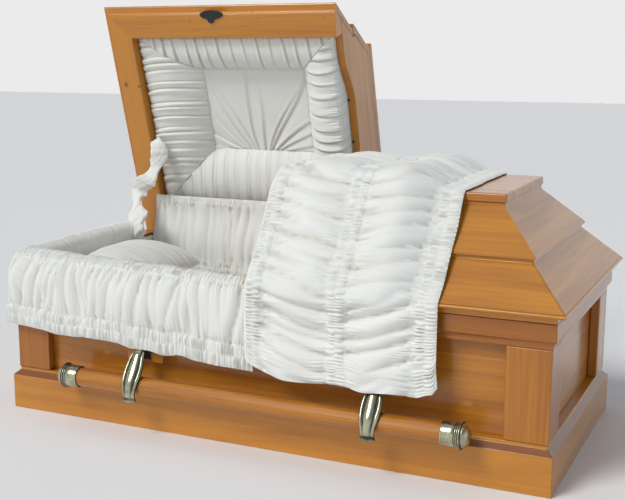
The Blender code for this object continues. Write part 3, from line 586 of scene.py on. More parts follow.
def leaf_arm(name, node, side, material):
    """A cast arm: neck out of the block, then a long leaf down the front of the bar.

    The leaf has a raised rim, and two narrow hollows beside a broad ridge.
    """
    low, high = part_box(node)
    bar_low, bar_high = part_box(node.split("_")[0] + "_handle_bar")
    bar_y, bar_z = (bar_low.y + bar_high.y) / 2, (bar_low.z + bar_high.z) / 2
    neck_drop, thick = 0.0045, 0.0045
    crown_height, rim_height, ridge_height, hollow_depth = 0.0066, 0.0010, 0.0016, 0.0030
    root_y = min(abs(low.y), abs(high.y)) * side
    root_z = high.z - neck_drop
    middle_x = (low.x + high.x) / 2
    route = [(root_y, root_z), (root_y + side * 0.018, root_z - 0.002),
             (root_y + side * 0.031, root_z - 0.012)]
    for forward, up in ((-0.021, 0.080), (0.006, 0.042), (0.0265, 0.012), (0.0322, -0.010), (0.0305, -0.033)):
        route.append((bar_y + side * forward, bar_z + up))
    route = smoothed(even(rounded(route, 14), 96)[0], 30)
    ahead = directions(route)
    out = np.stack([-ahead[:, 1], ahead[:, 0]], 1) * side
    share = np.linspace(0, 1, len(route))
    outline = rounded([(0.0, 0.0085), (0.18, 0.0090), (0.34, 0.0175), (0.46, 0.0225), (0.58, 0.0248),
                       (0.72, 0.0228), (0.86, 0.0174), (0.93, 0.0160), (1.0, 0.0186)], 10)
    width = np.interp(share, outline[:, 0], outline[:, 1])
    across = np.linspace(-1, 1, 49)
    on_leaf = np.sin(math.pi * np.clip((share - 0.24) / 0.68, 0.01, 0.99)) ** 0.45
    rim = np.exp(-((np.abs(across) - 0.82) / 0.11) ** 2)
    ridge = np.exp(-(across / 0.30) ** 2)
    hollow = np.exp(-((np.abs(across) - 0.56) / 0.13) ** 2)
    crown = crown_height * np.sqrt(np.clip(1 - across ** 2 * 0.92, 0, 1))
    carving = rim_height * rim + ridge_height * ridge - hollow_depth * hollow
    height = crown[None, :] + on_leaf[:, None] * carving[None, :]
    foot = np.clip((share - 0.93) / 0.07, 0, 1)[:, None]
    height = height * (1.0 - 0.45 * foot * (1 - foot) * 4)
    groove = np.clip(on_leaf[:, None] * (hollow * 1.25 + (np.abs(across) > 0.96) * 0.5)[None, :], 0, 1)
    groove = np.maximum(groove, 0.7 * foot * (1 - foot) * 4)
    front = np.stack([middle_x + across[None, :] * width[:, None],
                      route[:, 0][:, None] + out[:, 0][:, None] * height,
                      route[:, 1][:, None] + out[:, 1][:, None] * height], -1)
    shift = np.stack([0 * share, -out[:, 0] * thick, -out[:, 1] * thick], 1)
    thing = backed(name, front, material, "casket_body", shift, groove)
    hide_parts(node)
    return thing


def backed(name, grid, material, body, shift, groove):
    """A closed piece: a dense front grid, and a plain back, whose sides are moved by shift row by row."""
    rows, columns = grid.shape[:2]
    back_left = grid[:, 0] + shift
    back_right = grid[:, -1] + shift
    vertices = np.vstack([grid.reshape(-1, 3), back_left, back_right])
    faces = grid_faces(rows, columns)
    left, right = rows * columns, rows * columns + rows
    for row in range(rows - 1):
        a, b = row * columns, (row + 1) * columns
        faces.append((a, left + row, left + row + 1, b))
        faces.append((a + columns - 1, b + columns - 1, right + row + 1, right + row))
        faces.append((left + row, right + row, right + row + 1, left + row + 1))
    faces.append(tuple(range(columns)) + (right, left))
    last = (rows - 1) * columns
    faces.append(tuple(last + i for i in range(columns)) + (right + rows - 1, left + rows - 1))
    marks = np.concatenate([groove.ravel(), np.ones(2 * rows)])
    thing = mesh_object(name, vertices, faces, material, body, marks)
    outward(thing)
    return thing


def grid_faces(rows, columns):
    """Quads of a grid of rows by columns vertices."""
    index = np.arange(rows * columns).reshape(rows, columns)
    quads = np.stack([index[:-1, :-1], index[:-1, 1:], index[1:, 1:], index[1:, :-1]], -1)
    return [tuple(quad) for quad in quads.reshape(-1, 4).tolist()]


class CASKET_OT_handles(bpy.types.Operator):
    """Turns the end caps and casts the leaf-shaped arms of both handles"""
    bl_idname = "casket.handles"
    bl_label = "Handles"

    def execute(self, context):
        brass = aged_brass("antique brass")
        for name, side in (("front", -1), ("back", 1)):
            bar_low, bar_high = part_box(f"{name}_handle_bar")
            bar_y, bar_z = (bar_low.y + bar_high.y) / 2, (bar_low.z + bar_high.z) / 2
            bar_radius = (bar_high.z - bar_low.z) / 2
            for end, direction in (("head", -1), ("foot", 1)):
                node = f"{name}_handle_cap_{end}"
                low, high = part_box(node)
                mouth = high.x if direction < 0 else low.x
                profile = cap_profile(bar_radius, (high.z - low.z) / 2, high.x - low.x)
                cap = lathe(f"{name}_cap_{end}", profile, (mouth, bar_y, bar_z), direction, brass,
                            "casket_body")
                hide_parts(node)
                leaf_arm(f"{name}_arm_{end}", f"{name}_handle_arm_{end}", side, brass)
                self.slot_shade_plate(f"{name}_bracket_{end}", f"{name}_handle_block_{end}", side)
        return {"FINISHED"}

    def slot_shade_plate(self, name, node, side):
        """A black plate on the floor of a block's slot; it is partly a plate and partly a dark sheet standing in
        for the shade in the slot.
        """
        low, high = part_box(node)
        wall = min(abs(low.y), abs(high.y))
        middle, half_width, sunk, thick, gap = (low.x + high.x) / 2, 0.0164, 0.0062, 0.0012, 0.001
        back, front = side * (wall + sunk), side * (wall + sunk + thick)
        x = (middle - half_width, middle + half_width)
        z = (low.z + gap, high.z - gap)
        corners = [(x[0], z[0]), (x[1], z[0]), (x[1], z[1]), (x[0], z[1])]
        vertices = [(cx, y, cz) for y in (back, front) for cx, cz in corners]
        faces = ring_faces(2, 4) + [(0, 1, 2, 3), (4, 5, 6, 7)]
        paint = plain_metal(f"{name} paint", look()[1].plate, 0.0, 0.45)
        plate = mesh_object(name, vertices, faces, paint, "casket_body", smooth=False)
        outward(plate)


class CASKET_OT_fittings(bpy.types.Operator):
    """Finishes the hinges, the catch plate with its lug, and the screws of the split board"""
    bl_idname = "casket.fittings"
    bl_label = "Hinges, catch and screws"

    def execute(self, context):
        _, metal, _ = look()
        steel = plain_metal("hinge steel", metal.steel, 1.0, 0.30)
        for node, thing in NODES.items():
            if "hinge" in node:
                dress(thing, steel)
                ease_edges(thing, 0.0003)
        plate = plain_metal("black plate", metal.plate, 0.0, 0.30)
        dress(NODES["catch_plate"], plate)
        ease_edges(NODES["catch_plate"], 0.0010)
        self.lug(plate)
        screws = ((-0.073, 0.446), (0.053, 0.450))
        for number, (y, z) in enumerate(screws, 1):
            self.screw(f"split_board_screw_{number}", y, z, plate)
        return {"FINISHED"}

    def screw(self, name, y, z, material):
        """A countersunk screw head on the curved edge of the split board."""
        middle_x, sides, proud = -0.012, 20, 0.0007
        turns = np.linspace(0, 2 * math.pi, sides, endpoint=False)
        rings = [(0.0040, z + 0.003), (0.0040, z - proud * 0.4), (0.0033, z - proud), (0.0010, z - proud),
                 (0.0008, z - proud * 0.1)]
        vertices = [(middle_x + size * math.cos(turn), y + size * math.sin(turn), level)
                    for size, level in rings for turn in turns]
        faces = ring_faces(len(rings), sides)
        faces += [tuple(range(sides)), tuple(range((len(rings) - 1) * sides, len(rings) * sides))]
        head = mesh_object(name, opened(np.array(vertices)), faces, material, "head_lid")
        outward(head)

    def lug(self, material):
        """The small tongue that hangs from the plate's edge."""
        thick, reach, width, proud = 0.0034, 0.013, 0.024, 0.0006
        middle_x, inset = -0.374, 0.011
        outline = [(-width / 2, 0.0), (-width * 0.42, reach * 0.7), (-width * 0.1, reach),
                   (width * 0.25, reach * 0.8), (width / 2, 0.0)]
        start = Vector((middle_x, -(HALF_WIDTH + CORNICE_OUTSET) + inset, LID_BOTTOM - proud))
        rings = [[(start.x + x, start.y + y, start.z - z) for x, y in outline] for z in (thick, 0.0)]
        vertices = opened(np.array(rings).reshape(-1, 3))
        count = len(outline)
        faces = ring_faces(2, count) + [tuple(range(count)), tuple(range(count, 2 * count))]
        lug = mesh_object("catch_lug", vertices, faces, material, "head_lid", smooth=False)
        outward(lug)


# cloth

def crepe(name):
    """Off-white crepe: a pebbly weave, with darker, creamier painted shade down in the folds."""
    _, _, cloth = look()
    paint = Paint(name)
    fold_shade = paint.add("Attribute", {"attribute_name": "groove"}, out="Fac")
    place = paint.place()
    pebble = paint.noise(place, 900.0, 2.0, 0.6)
    weave = paint.noise(place, 2600.0, 1.0)
    mottled = paint.noise(place, 9.0, 3.0)
    # painted shade: the groove mark, with a little mottling, mixes the fold shade colour into the creases
    depth = paint.math("MINIMUM", fold_shade + (mottled - 0.5) * 0.10, 1.0)
    colour = paint.mix(paint.math("MAXIMUM", depth, 0.0), cloth.ridge, cloth.fold_shade)
    colour = paint.mix((pebble - 0.5) * 0.16 + 0.05, colour, WEAVE_SHADE)
    paint.bump(pebble * 0.6 + weave * 0.4, 0.18, 0.0005)
    return paint.finish(base_color=colour, roughness=0.86 + (pebble - 0.5) * 0.1, sheen_weight=0.12,
                        sheen_roughness=0.5)


def wander(rng, s, pitch):
    """Smooth random values from -1 to 1 along s that change about once in each pitch."""
    at = (s - s.min()) / pitch
    values = rng.uniform(-1, 1, int(at.max()) + 3)
    base = np.floor(at).astype(int)
    share = at - base
    share = share * share * (3 - 2 * share)
    return values[base] * (1 - share) + values[base + 1] * share


def drift(rng, s, t, pitch_s, pitch_t):
    """Smooth random values over both directions of a grid."""
    at_s, at_t = (s - s.min()) / pitch_s, (t - t.min()) / pitch_t
    values = rng.uniform(-1, 1, (int(at_s.max()) + 3, int(at_t.max()) + 3))
    base_s, base_t = np.floor(at_s).astype(int), np.floor(at_t).astype(int)
    f, g = at_s - base_s, at_t - base_t
    f, g = f * f * (3 - 2 * f), g * g * (3 - 2 * g)
    near = values[base_s, base_t] * (1 - g) + values[base_s, base_t + 1] * g
    far = values[base_s + 1, base_t] * (1 - g) + values[base_s + 1, base_t + 1] * g
    return near * (1 - f) + far * f


def shirring(rng, s, t, start, stop, rows, pitch, height):
    """Fine puckers on rows of elastic thread; they line up loosely from row to row."""
    total = np.zeros_like(s)
    threads = np.linspace(start, stop, rows + 1)
    common = s / pitch + 1.3 * wander(rng, s, 4.5 * pitch)
    for low, high in zip(threads, threads[1:]):
        share = (t - low) / (high - low)
        phase = common + 0.45 * wander(rng, s, 1.7 * pitch) + rng.uniform(-0.3, 0.3)
        fold = (0.5 - 0.5 * np.cos(2 * math.pi * phase)) ** 0.8
        swell = height * (0.74 + 0.42 * wander(rng, s, 2.1 * pitch))
        pinched = 0.45 + 0.55 * np.sin(math.pi * np.clip(share, 0, 1)) ** 0.7
        total += swell * (fold - 0.3) * pinched * ((share >= 0) & (share < 1))
    return total


def frill(rng, s, t, edge, inward, pitch, height, reach):
    """Short puckers that leave a stitched edge and fade into the puff beside it."""
    away = (t - edge) * inward
    phase = s / pitch + 1.1 * wander(rng, s, 3.3 * pitch) + rng.uniform(0, 1)
    length = reach * (1 + 0.45 * wander(rng, s, 1.3 * pitch))
    pucker = np.abs(np.sin(math.pi * phase)) ** 0.75 - 0.7
    return height * pucker * np.exp(-np.abs(away) / length) * (away > 0)


def creases(rng, s, t, start, stop, pitch, depth, width, lean=(0.0, 0.0), sag=0.0, whole=0.45, sway=0.12):
    """Sharp valleys across a puff, from one stitched band to the other; some fade before they get there.

    lean is how far a crease wanders along s for each metre of t, at the first and last s. whole is the
    share of creases that reach both bands, and sway is how much their lean varies.
    """
    total = np.zeros_like(s)
    first, last = s.min(), s.max()
    span = stop - start
    u = (t - start) / span
    inside = np.clip(u, 0, 1)
    fade, wobble = 0.006, 0.003
    past = np.exp(-(np.clip(-u, 0, None) + np.clip(u - 1, 0, None)) * abs(span) / fade)
    arch = 4 * inside * (1 - inside)
    at = first - pitch
    while at < last + pitch:
        at += pitch * rng.uniform(0.6, 1.35)
        slope = lean[0] + (lean[1] - lean[0]) * (at - first) / (last - first) + rng.uniform(-sway, sway)
        reach = rng.uniform(0.35, 0.85)
        kind = rng.uniform()
        if kind < whole:
            along = 1 - rng.uniform(0.1, 0.55) * arch
        elif kind < (1 + whole) / 2:
            along = np.clip(1 - inside / reach, 0, 1) ** 0.7
        else:
            along = np.clip(1 - (1 - inside) / reach, 0, 1) ** 0.7
        centre = at + slope * span * (u - 0.5) + sag * arch
        centre = centre + wobble * rng.uniform(-1, 1) * np.sin(u * rng.uniform(3, 8))
        off = (s - centre) / (width * rng.uniform(0.7, 1.35) * (0.55 + 0.85 * arch))
        total -= depth * rng.uniform(0.45, 1.15) * along * past * np.exp(-np.sqrt(off * off + 0.06))
    return total


def pleats(rng, s, t, span, pitch, height, width, sag=0.0, spread=0.5, wobble=0.003):
    """Narrow raised pleats right across a padded roll, each with a crease on its far side."""
    total = np.zeros_like(s)
    at = s.min() - pitch
    share = t / span
    while at < s.max() + pitch:
        at += pitch * rng.uniform(1 - spread, 1 + spread)
        bow = sag * 4 * share * (1 - share) + wobble * rng.uniform(-1, 1) * np.sin(share * rng.uniform(2, 5))
        off = s - (at + bow)
        strong = height * rng.uniform(0.55, 1.2) * (0.6 + 0.4 * np.cos((share - rng.uniform(0.0, 1.0)) * 1.8))
        wide = width * rng.uniform(0.8, 1.25)
        ridge = np.exp(-(off / (wide * np.where(off < 0, 2.2, 0.5))) ** 2)
        crease = np.exp(-np.abs(off - wide * 0.9) / (wide * 0.5))
        total += strong * (ridge - 0.95 * crease)
    return total


def fold_shade_mark(height, spread, window=9):
    """Painted shade for the folds: how far each point lies below the cloth beside it, from 0 on open cloth to 1 in
    the deepest creases.
    """
    padded = np.pad(height, ((window, window), (0, 0)), mode="edge")
    total = np.cumsum(padded, axis=0)
    before = np.vstack([np.zeros(height.shape[1]), total[:-2 * window - 1]])
    around = (total[2 * window:] - before) / (2 * window + 1)
    below = around[:height.shape[0]] - height
    mark = np.clip(below / max(np.percentile(below, 96), 1e-6), 0, 1)
    return mark ** 1.2 * spread


def grid_normals(grid):
    """Unit normals of a grid surface, by its two directions."""
    across, along = np.gradient(grid, axis=0), np.gradient(grid, axis=1)
    normal = np.cross(across, along)
    return normal / np.maximum(np.linalg.norm(normal, axis=-1, keepdims=True), 1e-9)


def thin_cloth(name, grid, normal, material, mark, body):
    """A closed thin cloth: the dense grid, and a coarser one a thickness behind it, sewn at the edges."""
    rows, columns = grid.shape[:2]
    picked_rows = list(range(0, rows - 1, BACK_STEP)) + [rows - 1]
    picked_columns = list(range(0, columns - 1, BACK_STEP)) + [columns - 1]
    behind = grid - normal * CLOTH_THICKNESS
    back = behind[np.ix_(picked_rows, picked_columns)]
    count = rows * columns
    vertices = np.vstack([grid.reshape(-1, 3), back.reshape(-1, 3)])
    faces = grid_faces(rows, columns)
    back_rows, back_columns = back.shape[:2]
    faces += [tuple(count + i for i in reversed(face)) for face in grid_faces(back_rows, back_columns)]
    edges = (([r * columns for r in range(rows)], picked_rows, [r * back_columns for r in range(back_rows)]),
             ([r * columns + columns - 1 for r in range(rows)], picked_rows,
              [r * back_columns + back_columns - 1 for r in range(back_rows)]),
             (list(range(columns)), picked_columns, list(range(back_columns))),
             ([(rows - 1) * columns + c for c in range(columns)], picked_columns,
              [(back_rows - 1) * back_columns + c for c in range(back_columns)]))
    for dense, picked, sparse in edges:
        for k in range(len(picked) - 1):
            near, far = count + sparse[k], count + sparse[k + 1]
            for i in range(picked[k], picked[k + 1]):
                faces.append((near, dense[i], dense[i + 1]))
            faces.append((near, dense[picked[k + 1]], far))
    marks = np.concatenate([mark.ravel(), mark[np.ix_(picked_rows, picked_columns)].ravel()])
    thing = mesh_object(name, vertices, faces, material, body, marks)
    outward(thing)
    thing.data.set_sharp_from_angle(angle=FOLD_ANGLE)
    return thing


def stuffed(name, grid, material, mark, body, centre):
    """A closed padded piece: the dense grid, and a fan from its edge to a hidden point behind."""
    rows, columns = grid.shape[:2]
    index = np.arange(rows * columns).reshape(rows, columns)
    loop = list(index[0, :]) + list(index[1:, -1]) + list(index[-1, -2::-1]) + list(index[-2:0:-1, 0])
    vertices = np.vstack([grid.reshape(-1, 3), np.asarray(centre, float)[None]])
    hub = rows * columns
    faces = grid_faces(rows, columns)
    faces += [(int(loop[i]), int(loop[(i + 1) % len(loop)]), hub) for i in range(len(loop))]
    thing = mesh_object(name, vertices, faces, material, body, np.append(mark.ravel(), 1.0))
    outward(thing)
    return thing


def hull_route(corners, clearance):
    """A route of (y, z) points that runs clear of convex corners, with an arc round each of them."""
    corners = np.array(corners, float)
    runs = np.diff(corners, axis=0)
    angles = np.unwrap(np.arctan2(-runs[:, 0], runs[:, 1]))
    points = []
    for index, corner in enumerate(corners):
        first, last = angles[max(index - 1, 0)], angles[min(index, len(angles) - 1)]
        for angle in np.linspace(first, last, 9 if index in range(1, len(corners) - 1) else 1):
            points.append(corner + clearance * np.array([math.cos(angle), math.sin(angle)]))
    return np.array(points)


def hull_normals(route):
    """Unit normals on the right of a route of (y, z) points."""
    ahead = directions(route)
    return np.stack([ahead[:, 1], -ahead[:, 0]], 1)


def raised(route, out, height):
    """The (y, z) of a route whose points are moved out along their normals by height, row by row."""
    return [route[:, k] + out[:, k] * height for k in (0, 1)]


def ease_in(value):
    """0 to 1 with soft ends."""
    value = np.clip(value, 0, 1)
    return value * value * (3 - 2 * value)


class CASKET_OT_throw(bpy.types.Operator):
    """Lays the shirred throw over the split end of the foot lid"""
    bl_idname = "casket.throw"
    bl_label = "Throw"

    def execute(self, context):
        rng = np.random.default_rng(look()[2].seed)
        low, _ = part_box("throw")
        slope_low, slope_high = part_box("foot_lid_upper_slope")
        slope_edge, lip_depth, clearance = 0.009, 0.018, 0.0045
        tail_out, tail_drop, hem_out, hem_drop = 0.060, 0.078, 0.003, 0.012
        shoulder_y, shoulder_z = slope_high.y, slope_low.z + slope_edge
        top_y, top_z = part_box("foot_lid_top_board")[1].y, TOP_BOARD_TOP
        lip_z = RIM_TOP - lip_depth
        corners = [(top_y + tail_out, top_z - tail_drop), (top_y, top_z), (-top_y, top_z),
                   (-shoulder_y, shoulder_z), (-LIP_Y, lip_z), (-LIP_Y - hem_out, low.z - hem_drop)]
        rows, turn_softly, lie_softly = 880, 60, 900
        route, length = even(hull_route(corners, clearance), rows)
        out = smoothed(hull_normals(route), turn_softly)
        out /= np.linalg.norm(out, axis=1)[:, None]
        soft = smoothed(route, lie_softly)
        left, middle, right = THROW_BANDS
        t_line = np.concatenate([np.linspace(0, left[1], 20), np.linspace(left[1], middle[0], 20)[1:],
                                 np.linspace(*middle, 22)[1:], np.linspace(middle[1], right[0], 20)[1:],
                                 np.linspace(right[0], THROW_WIDTH, 22)[1:]])
        s_line = np.linspace(0, length, rows)
        s, t = np.meshgrid(s_line, t_line, indexing="ij")
        to_edge = ease_in((t - (THROW_WIDTH - 0.135)) / 0.115)
        lie = route[:, None, :] * to_edge[..., None] + soft[:, None, :] * (1 - to_edge[..., None])
        y_line, z_line = lie.transpose(2, 0, 1)
        hang = ease_in((lip_z + 0.03 - route[:, 1]) / 0.10)[:, None]
        on_top = ease_in((route[:, 1] - (top_z - 0.05)) / 0.05)[:, None]
        shoulder_s = s_line[np.argmin(abs(route[:, 0] + top_y + 0.03))]
        shoulder = np.exp(-((s - shoulder_s) / 0.10) ** 2)
        least, slack, at_shoulder = 0.002, 0.031, 0.018
        loft = (slack + at_shoulder * shoulder) * (1 - to_edge) * (1 - 0.70 * hang) + least
        arch, relief = self.puffs(rng, s, t, s_line, on_top)
        turned = np.exp(-(t / 0.008) ** 2) * 0.012 + np.exp(-((THROW_WIDTH - t) / 0.005) ** 2) * 0.003
        deepest = -0.0015
        height = np.maximum(loft + arch + relief - turned, deepest)
        skew = -0.011 * hang * (1 - t / THROW_WIDTH)
        sway = 0.0035 * wander(rng, s, 0.07) * np.where(t > THROW_WIDTH / 2, 1, 0.6)
        x = 0.0045 + t + skew + sway
        drop = ease_in((s / length - 0.84) / 0.16) * self.hem(rng, t_line)[None, :]
        y = y_line + out[:, 0][:, None] * height
        z = z_line + out[:, 1][:, None] * height + drop
        grid = np.stack([x, y, z], -1)
        thing = thin_cloth("shirred_throw", grid, grid_normals(grid), crepe("throw crepe"),
                           fold_shade_mark(relief, 0.8), "foot_lid")
        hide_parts("throw")
        return {"FINISHED"}

    def puffs(self, rng, s, t, s_line, on_top):
        """The arch of the two puffs between the bands, and the relief of their folds and of the bands."""
        left, middle, right = THROW_BANDS
        relief = np.zeros_like(s)
        arch = np.zeros_like(s)
        for start, stop, lean, sag in ((left[1], middle[0], (0.10, 0.30), 0.006),
                                       (middle[1], right[0], (-0.05, -0.42), 0.008)):
            share = np.clip((t - start) / (stop - start), 0, 1)
            dome = np.sin(math.pi * share) ** 0.65
            arch += dome * (0.019 + 0.002 * on_top) * (1 + 0.16 * wander(rng, s_line, 0.08)[:, None])
            relief += creases(rng, s, t, start, stop, pitch=0.0370, depth=0.0340, width=0.0090,
                              lean=lean, sag=sag, whole=0.80, sway=0.08)
            relief += creases(rng, s, t, start, stop, pitch=0.0260, depth=0.0070, width=0.0045,
                              lean=lean, sag=sag, whole=0.05, sway=0.2)
            relief += 0.0030 * dome * drift(rng, s, t, pitch_s=0.022, pitch_t=0.08)
            for edge, inward in ((start, 1), (stop, -1)):
                relief += frill(rng, s, t, edge, inward, pitch=0.0100, height=0.0060, reach=0.018)
        for start, stop in THROW_BANDS:
            relief += shirring(rng, s, t, start, stop, rows=2, pitch=0.0088, height=0.0080)
        return arch, relief

    def hem(self, rng, t_line):
        """How far the lower hem rises above a straight line, across the throw."""
        left, middle, right = THROW_BANDS
        rise = 0.006 * wander(rng, t_line, 0.06) + 0.034 * np.exp(-t_line / 0.035)
        rise += 0.007 * ease_in((t_line - right[0]) / 0.03)
        rise += 0.012 * ease_in((t_line - THROW_WIDTH + 0.014) / 0.014) ** 2
        rise -= 0.006 * np.sin(math.pi * np.clip((t_line - left[1]) / (middle[0] - left[1]), 0, 1))
        return rise


def round_the_rim(s, outset, run, arc, stretch, split_x, back_y):
    """(x, y) of points along the front of the head half, round its corner and across the head end."""
    innermost = -0.0285
    radius = 0.005 + 0.34 * np.clip(outset - innermost, 0, None)
    centre_x, centre_y = -(HALF_LENGTH + outset - radius), -(HALF_WIDTH + outset - radius)
    first = np.clip(s / run, 0, 1)
    turn = np.clip((s - run) / arc, 0, 1) * math.pi / 2
    last = np.clip((s - run - arc) / stretch, 0, 1)
    x = split_x + (centre_x - split_x) * first - radius * np.sin(turn)
    y = centre_y - radius * np.cos(turn) + (back_y - centre_y) * last
    return x, y


class CASKET_OT_skirt(bpy.types.Operator):
    """Folds the gathered skirt over the rim of the head half"""
    bl_idname = "casket.skirt"
    bl_label = "Rim skirt"

    def execute(self, context):
        rng = np.random.default_rng(look()[2].seed + 1)
        _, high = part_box("rim_skirt")
        margin = 0.010
        run = HALF_LENGTH - margin - abs(high.x)
        arc, stretch = 0.060, HALF_WIDTH - margin + high.y
        path = [(-0.0265, -0.016), (-0.0290, 0.004), (-0.0250, 0.022), (-0.0080, 0.032), (0.014, 0.033),
                (0.034, 0.023), (0.0440, 0.004), (0.0460, -0.030), (0.0460, -0.09), (0.0450, -0.143)]
        path, length = even(rounded([(outset, BODY_TOP + rise) for outset, rise in path], 16), 400)
        crest, panel_top, hem = 0.060, 0.100, length - 0.050
        t_line = np.concatenate([np.linspace(0, crest, 20), np.linspace(crest, panel_top, 20)[1:],
                                 np.linspace(panel_top, hem, 26)[1:], np.linspace(hem, length, 30)[1:]])
        path = np.stack([np.interp(t_line, np.linspace(0, length, len(path)), path[:, k]) for k in (0, 1)], 1)
        rows = 900
        line = np.linspace(0, run + arc + stretch, rows)
        s, t = np.meshgrid(line, t_line, indexing="ij")
        middle = np.clip((t - panel_top) / (hem - panel_top), 0, 1)
        arch = 0.012 * np.sin(math.pi * middle) ** 0.6 * (1 + 0.25 * wander(rng, line, 0.07)[:, None])
        arch += 0.004 * np.sin(math.pi * np.clip(t / crest, 0, 1)) ** 0.8
        relief = self.gathers(rng, s, t, crest, panel_top, hem, length)
        deepest = -0.0085
        outset, z = raised(path, -hull_normals(path), np.maximum(arch + relief, deepest))
        near_split = np.clip(1 - line / run, 0, 1)
        longer, longer_at_split, uneven = 0.004, 0.040, 0.005
        lengthen = longer + longer_at_split * near_split ** 0.8 + uneven * wander(rng, line, 0.045)
        fall = np.clip((t - crest) / (length - crest), 0, 1)
        z = z - fall * lengthen[:, None]
        z = z + 0.018 * np.clip(line / run, 0, 1)[:, None] ** 1.5 * np.clip(1 - abs(t - crest) / 0.08, 0, 1)
        x, y = round_the_rim(s, outset, run, arc, stretch, high.x, high.y)
        x = x + 0.016 * near_split[:, None] ** 8 * ease_in((fall - 0.15) / 0.35)
        outer = np.nonzero(t_line > crest)[0]
        seam = int(outer[np.argmin(np.abs(z[:, outer].mean(axis=0) - BODY_TOP))])
        level, step_down, near_seam = BODY_TOP + 0.0002, 0.0001, 0.014
        z = z + (level - z[:, seam:seam + 1]) * np.exp(-((t - t_line[seam]) / near_seam) ** 2)
        z[:, seam + 1:] = np.minimum(z[:, seam + 1:], level - step_down)
        grid = np.stack([x, y, z], -1)
        mark, material = fold_shade_mark(relief, 0.8), crepe("skirt crepe")
        for name, first, last in (("skirt_crest", 0, seam), ("gathered_skirt", seam, len(t_line) - 1)):
            columns = slice(first, last + 1)
            part = grid[:, columns]
            thing = thin_cloth(name, part, grid_normals(part), material, mark[:, columns], None)
            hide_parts("rim_skirt")
            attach(thing, "casket_body")
            if name == "skirt_crest":
                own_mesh(thing)
        return {"FINISHED"}

    def gathers(self, rng, s, t, crest, panel_top, hem, length):
        """The relief of the folds on the crest and the panel, and of the two shirred bands."""
        relief = creases(rng, s, t, panel_top, hem, pitch=0.0280, depth=0.0200, width=0.0072,
                         lean=(0.22, 0.05), whole=0.60, sway=0.26)
        relief += creases(rng, s, t, panel_top, hem, pitch=0.0260, depth=0.0080, width=0.0038,
                          lean=(0.20, 0.10), whole=0.05, sway=0.35)
        relief += creases(rng, s, t, 0.0, crest, pitch=0.0150, depth=0.0042, width=0.0040,
                          lean=(0.3, 0.3), whole=0.4, sway=0.3)
        for edge, inward in ((panel_top, 1), (hem, -1)):
            relief += frill(rng, s, t, edge, inward, pitch=0.0085, height=0.0055, reach=0.014)
        relief += frill(rng, s, t, crest, -1, pitch=0.0070, height=0.0035, reach=0.012)
        relief += shirring(rng, s, t, crest, panel_top, rows=2, pitch=0.0082, height=0.0080)
        relief += shirring(rng, s, t, hem, length - 0.001, rows=2, pitch=0.0085, height=0.0095)
        relief += 0.0020 * drift(rng, s, t, pitch_s=0.03, pitch_t=0.06)
        return relief


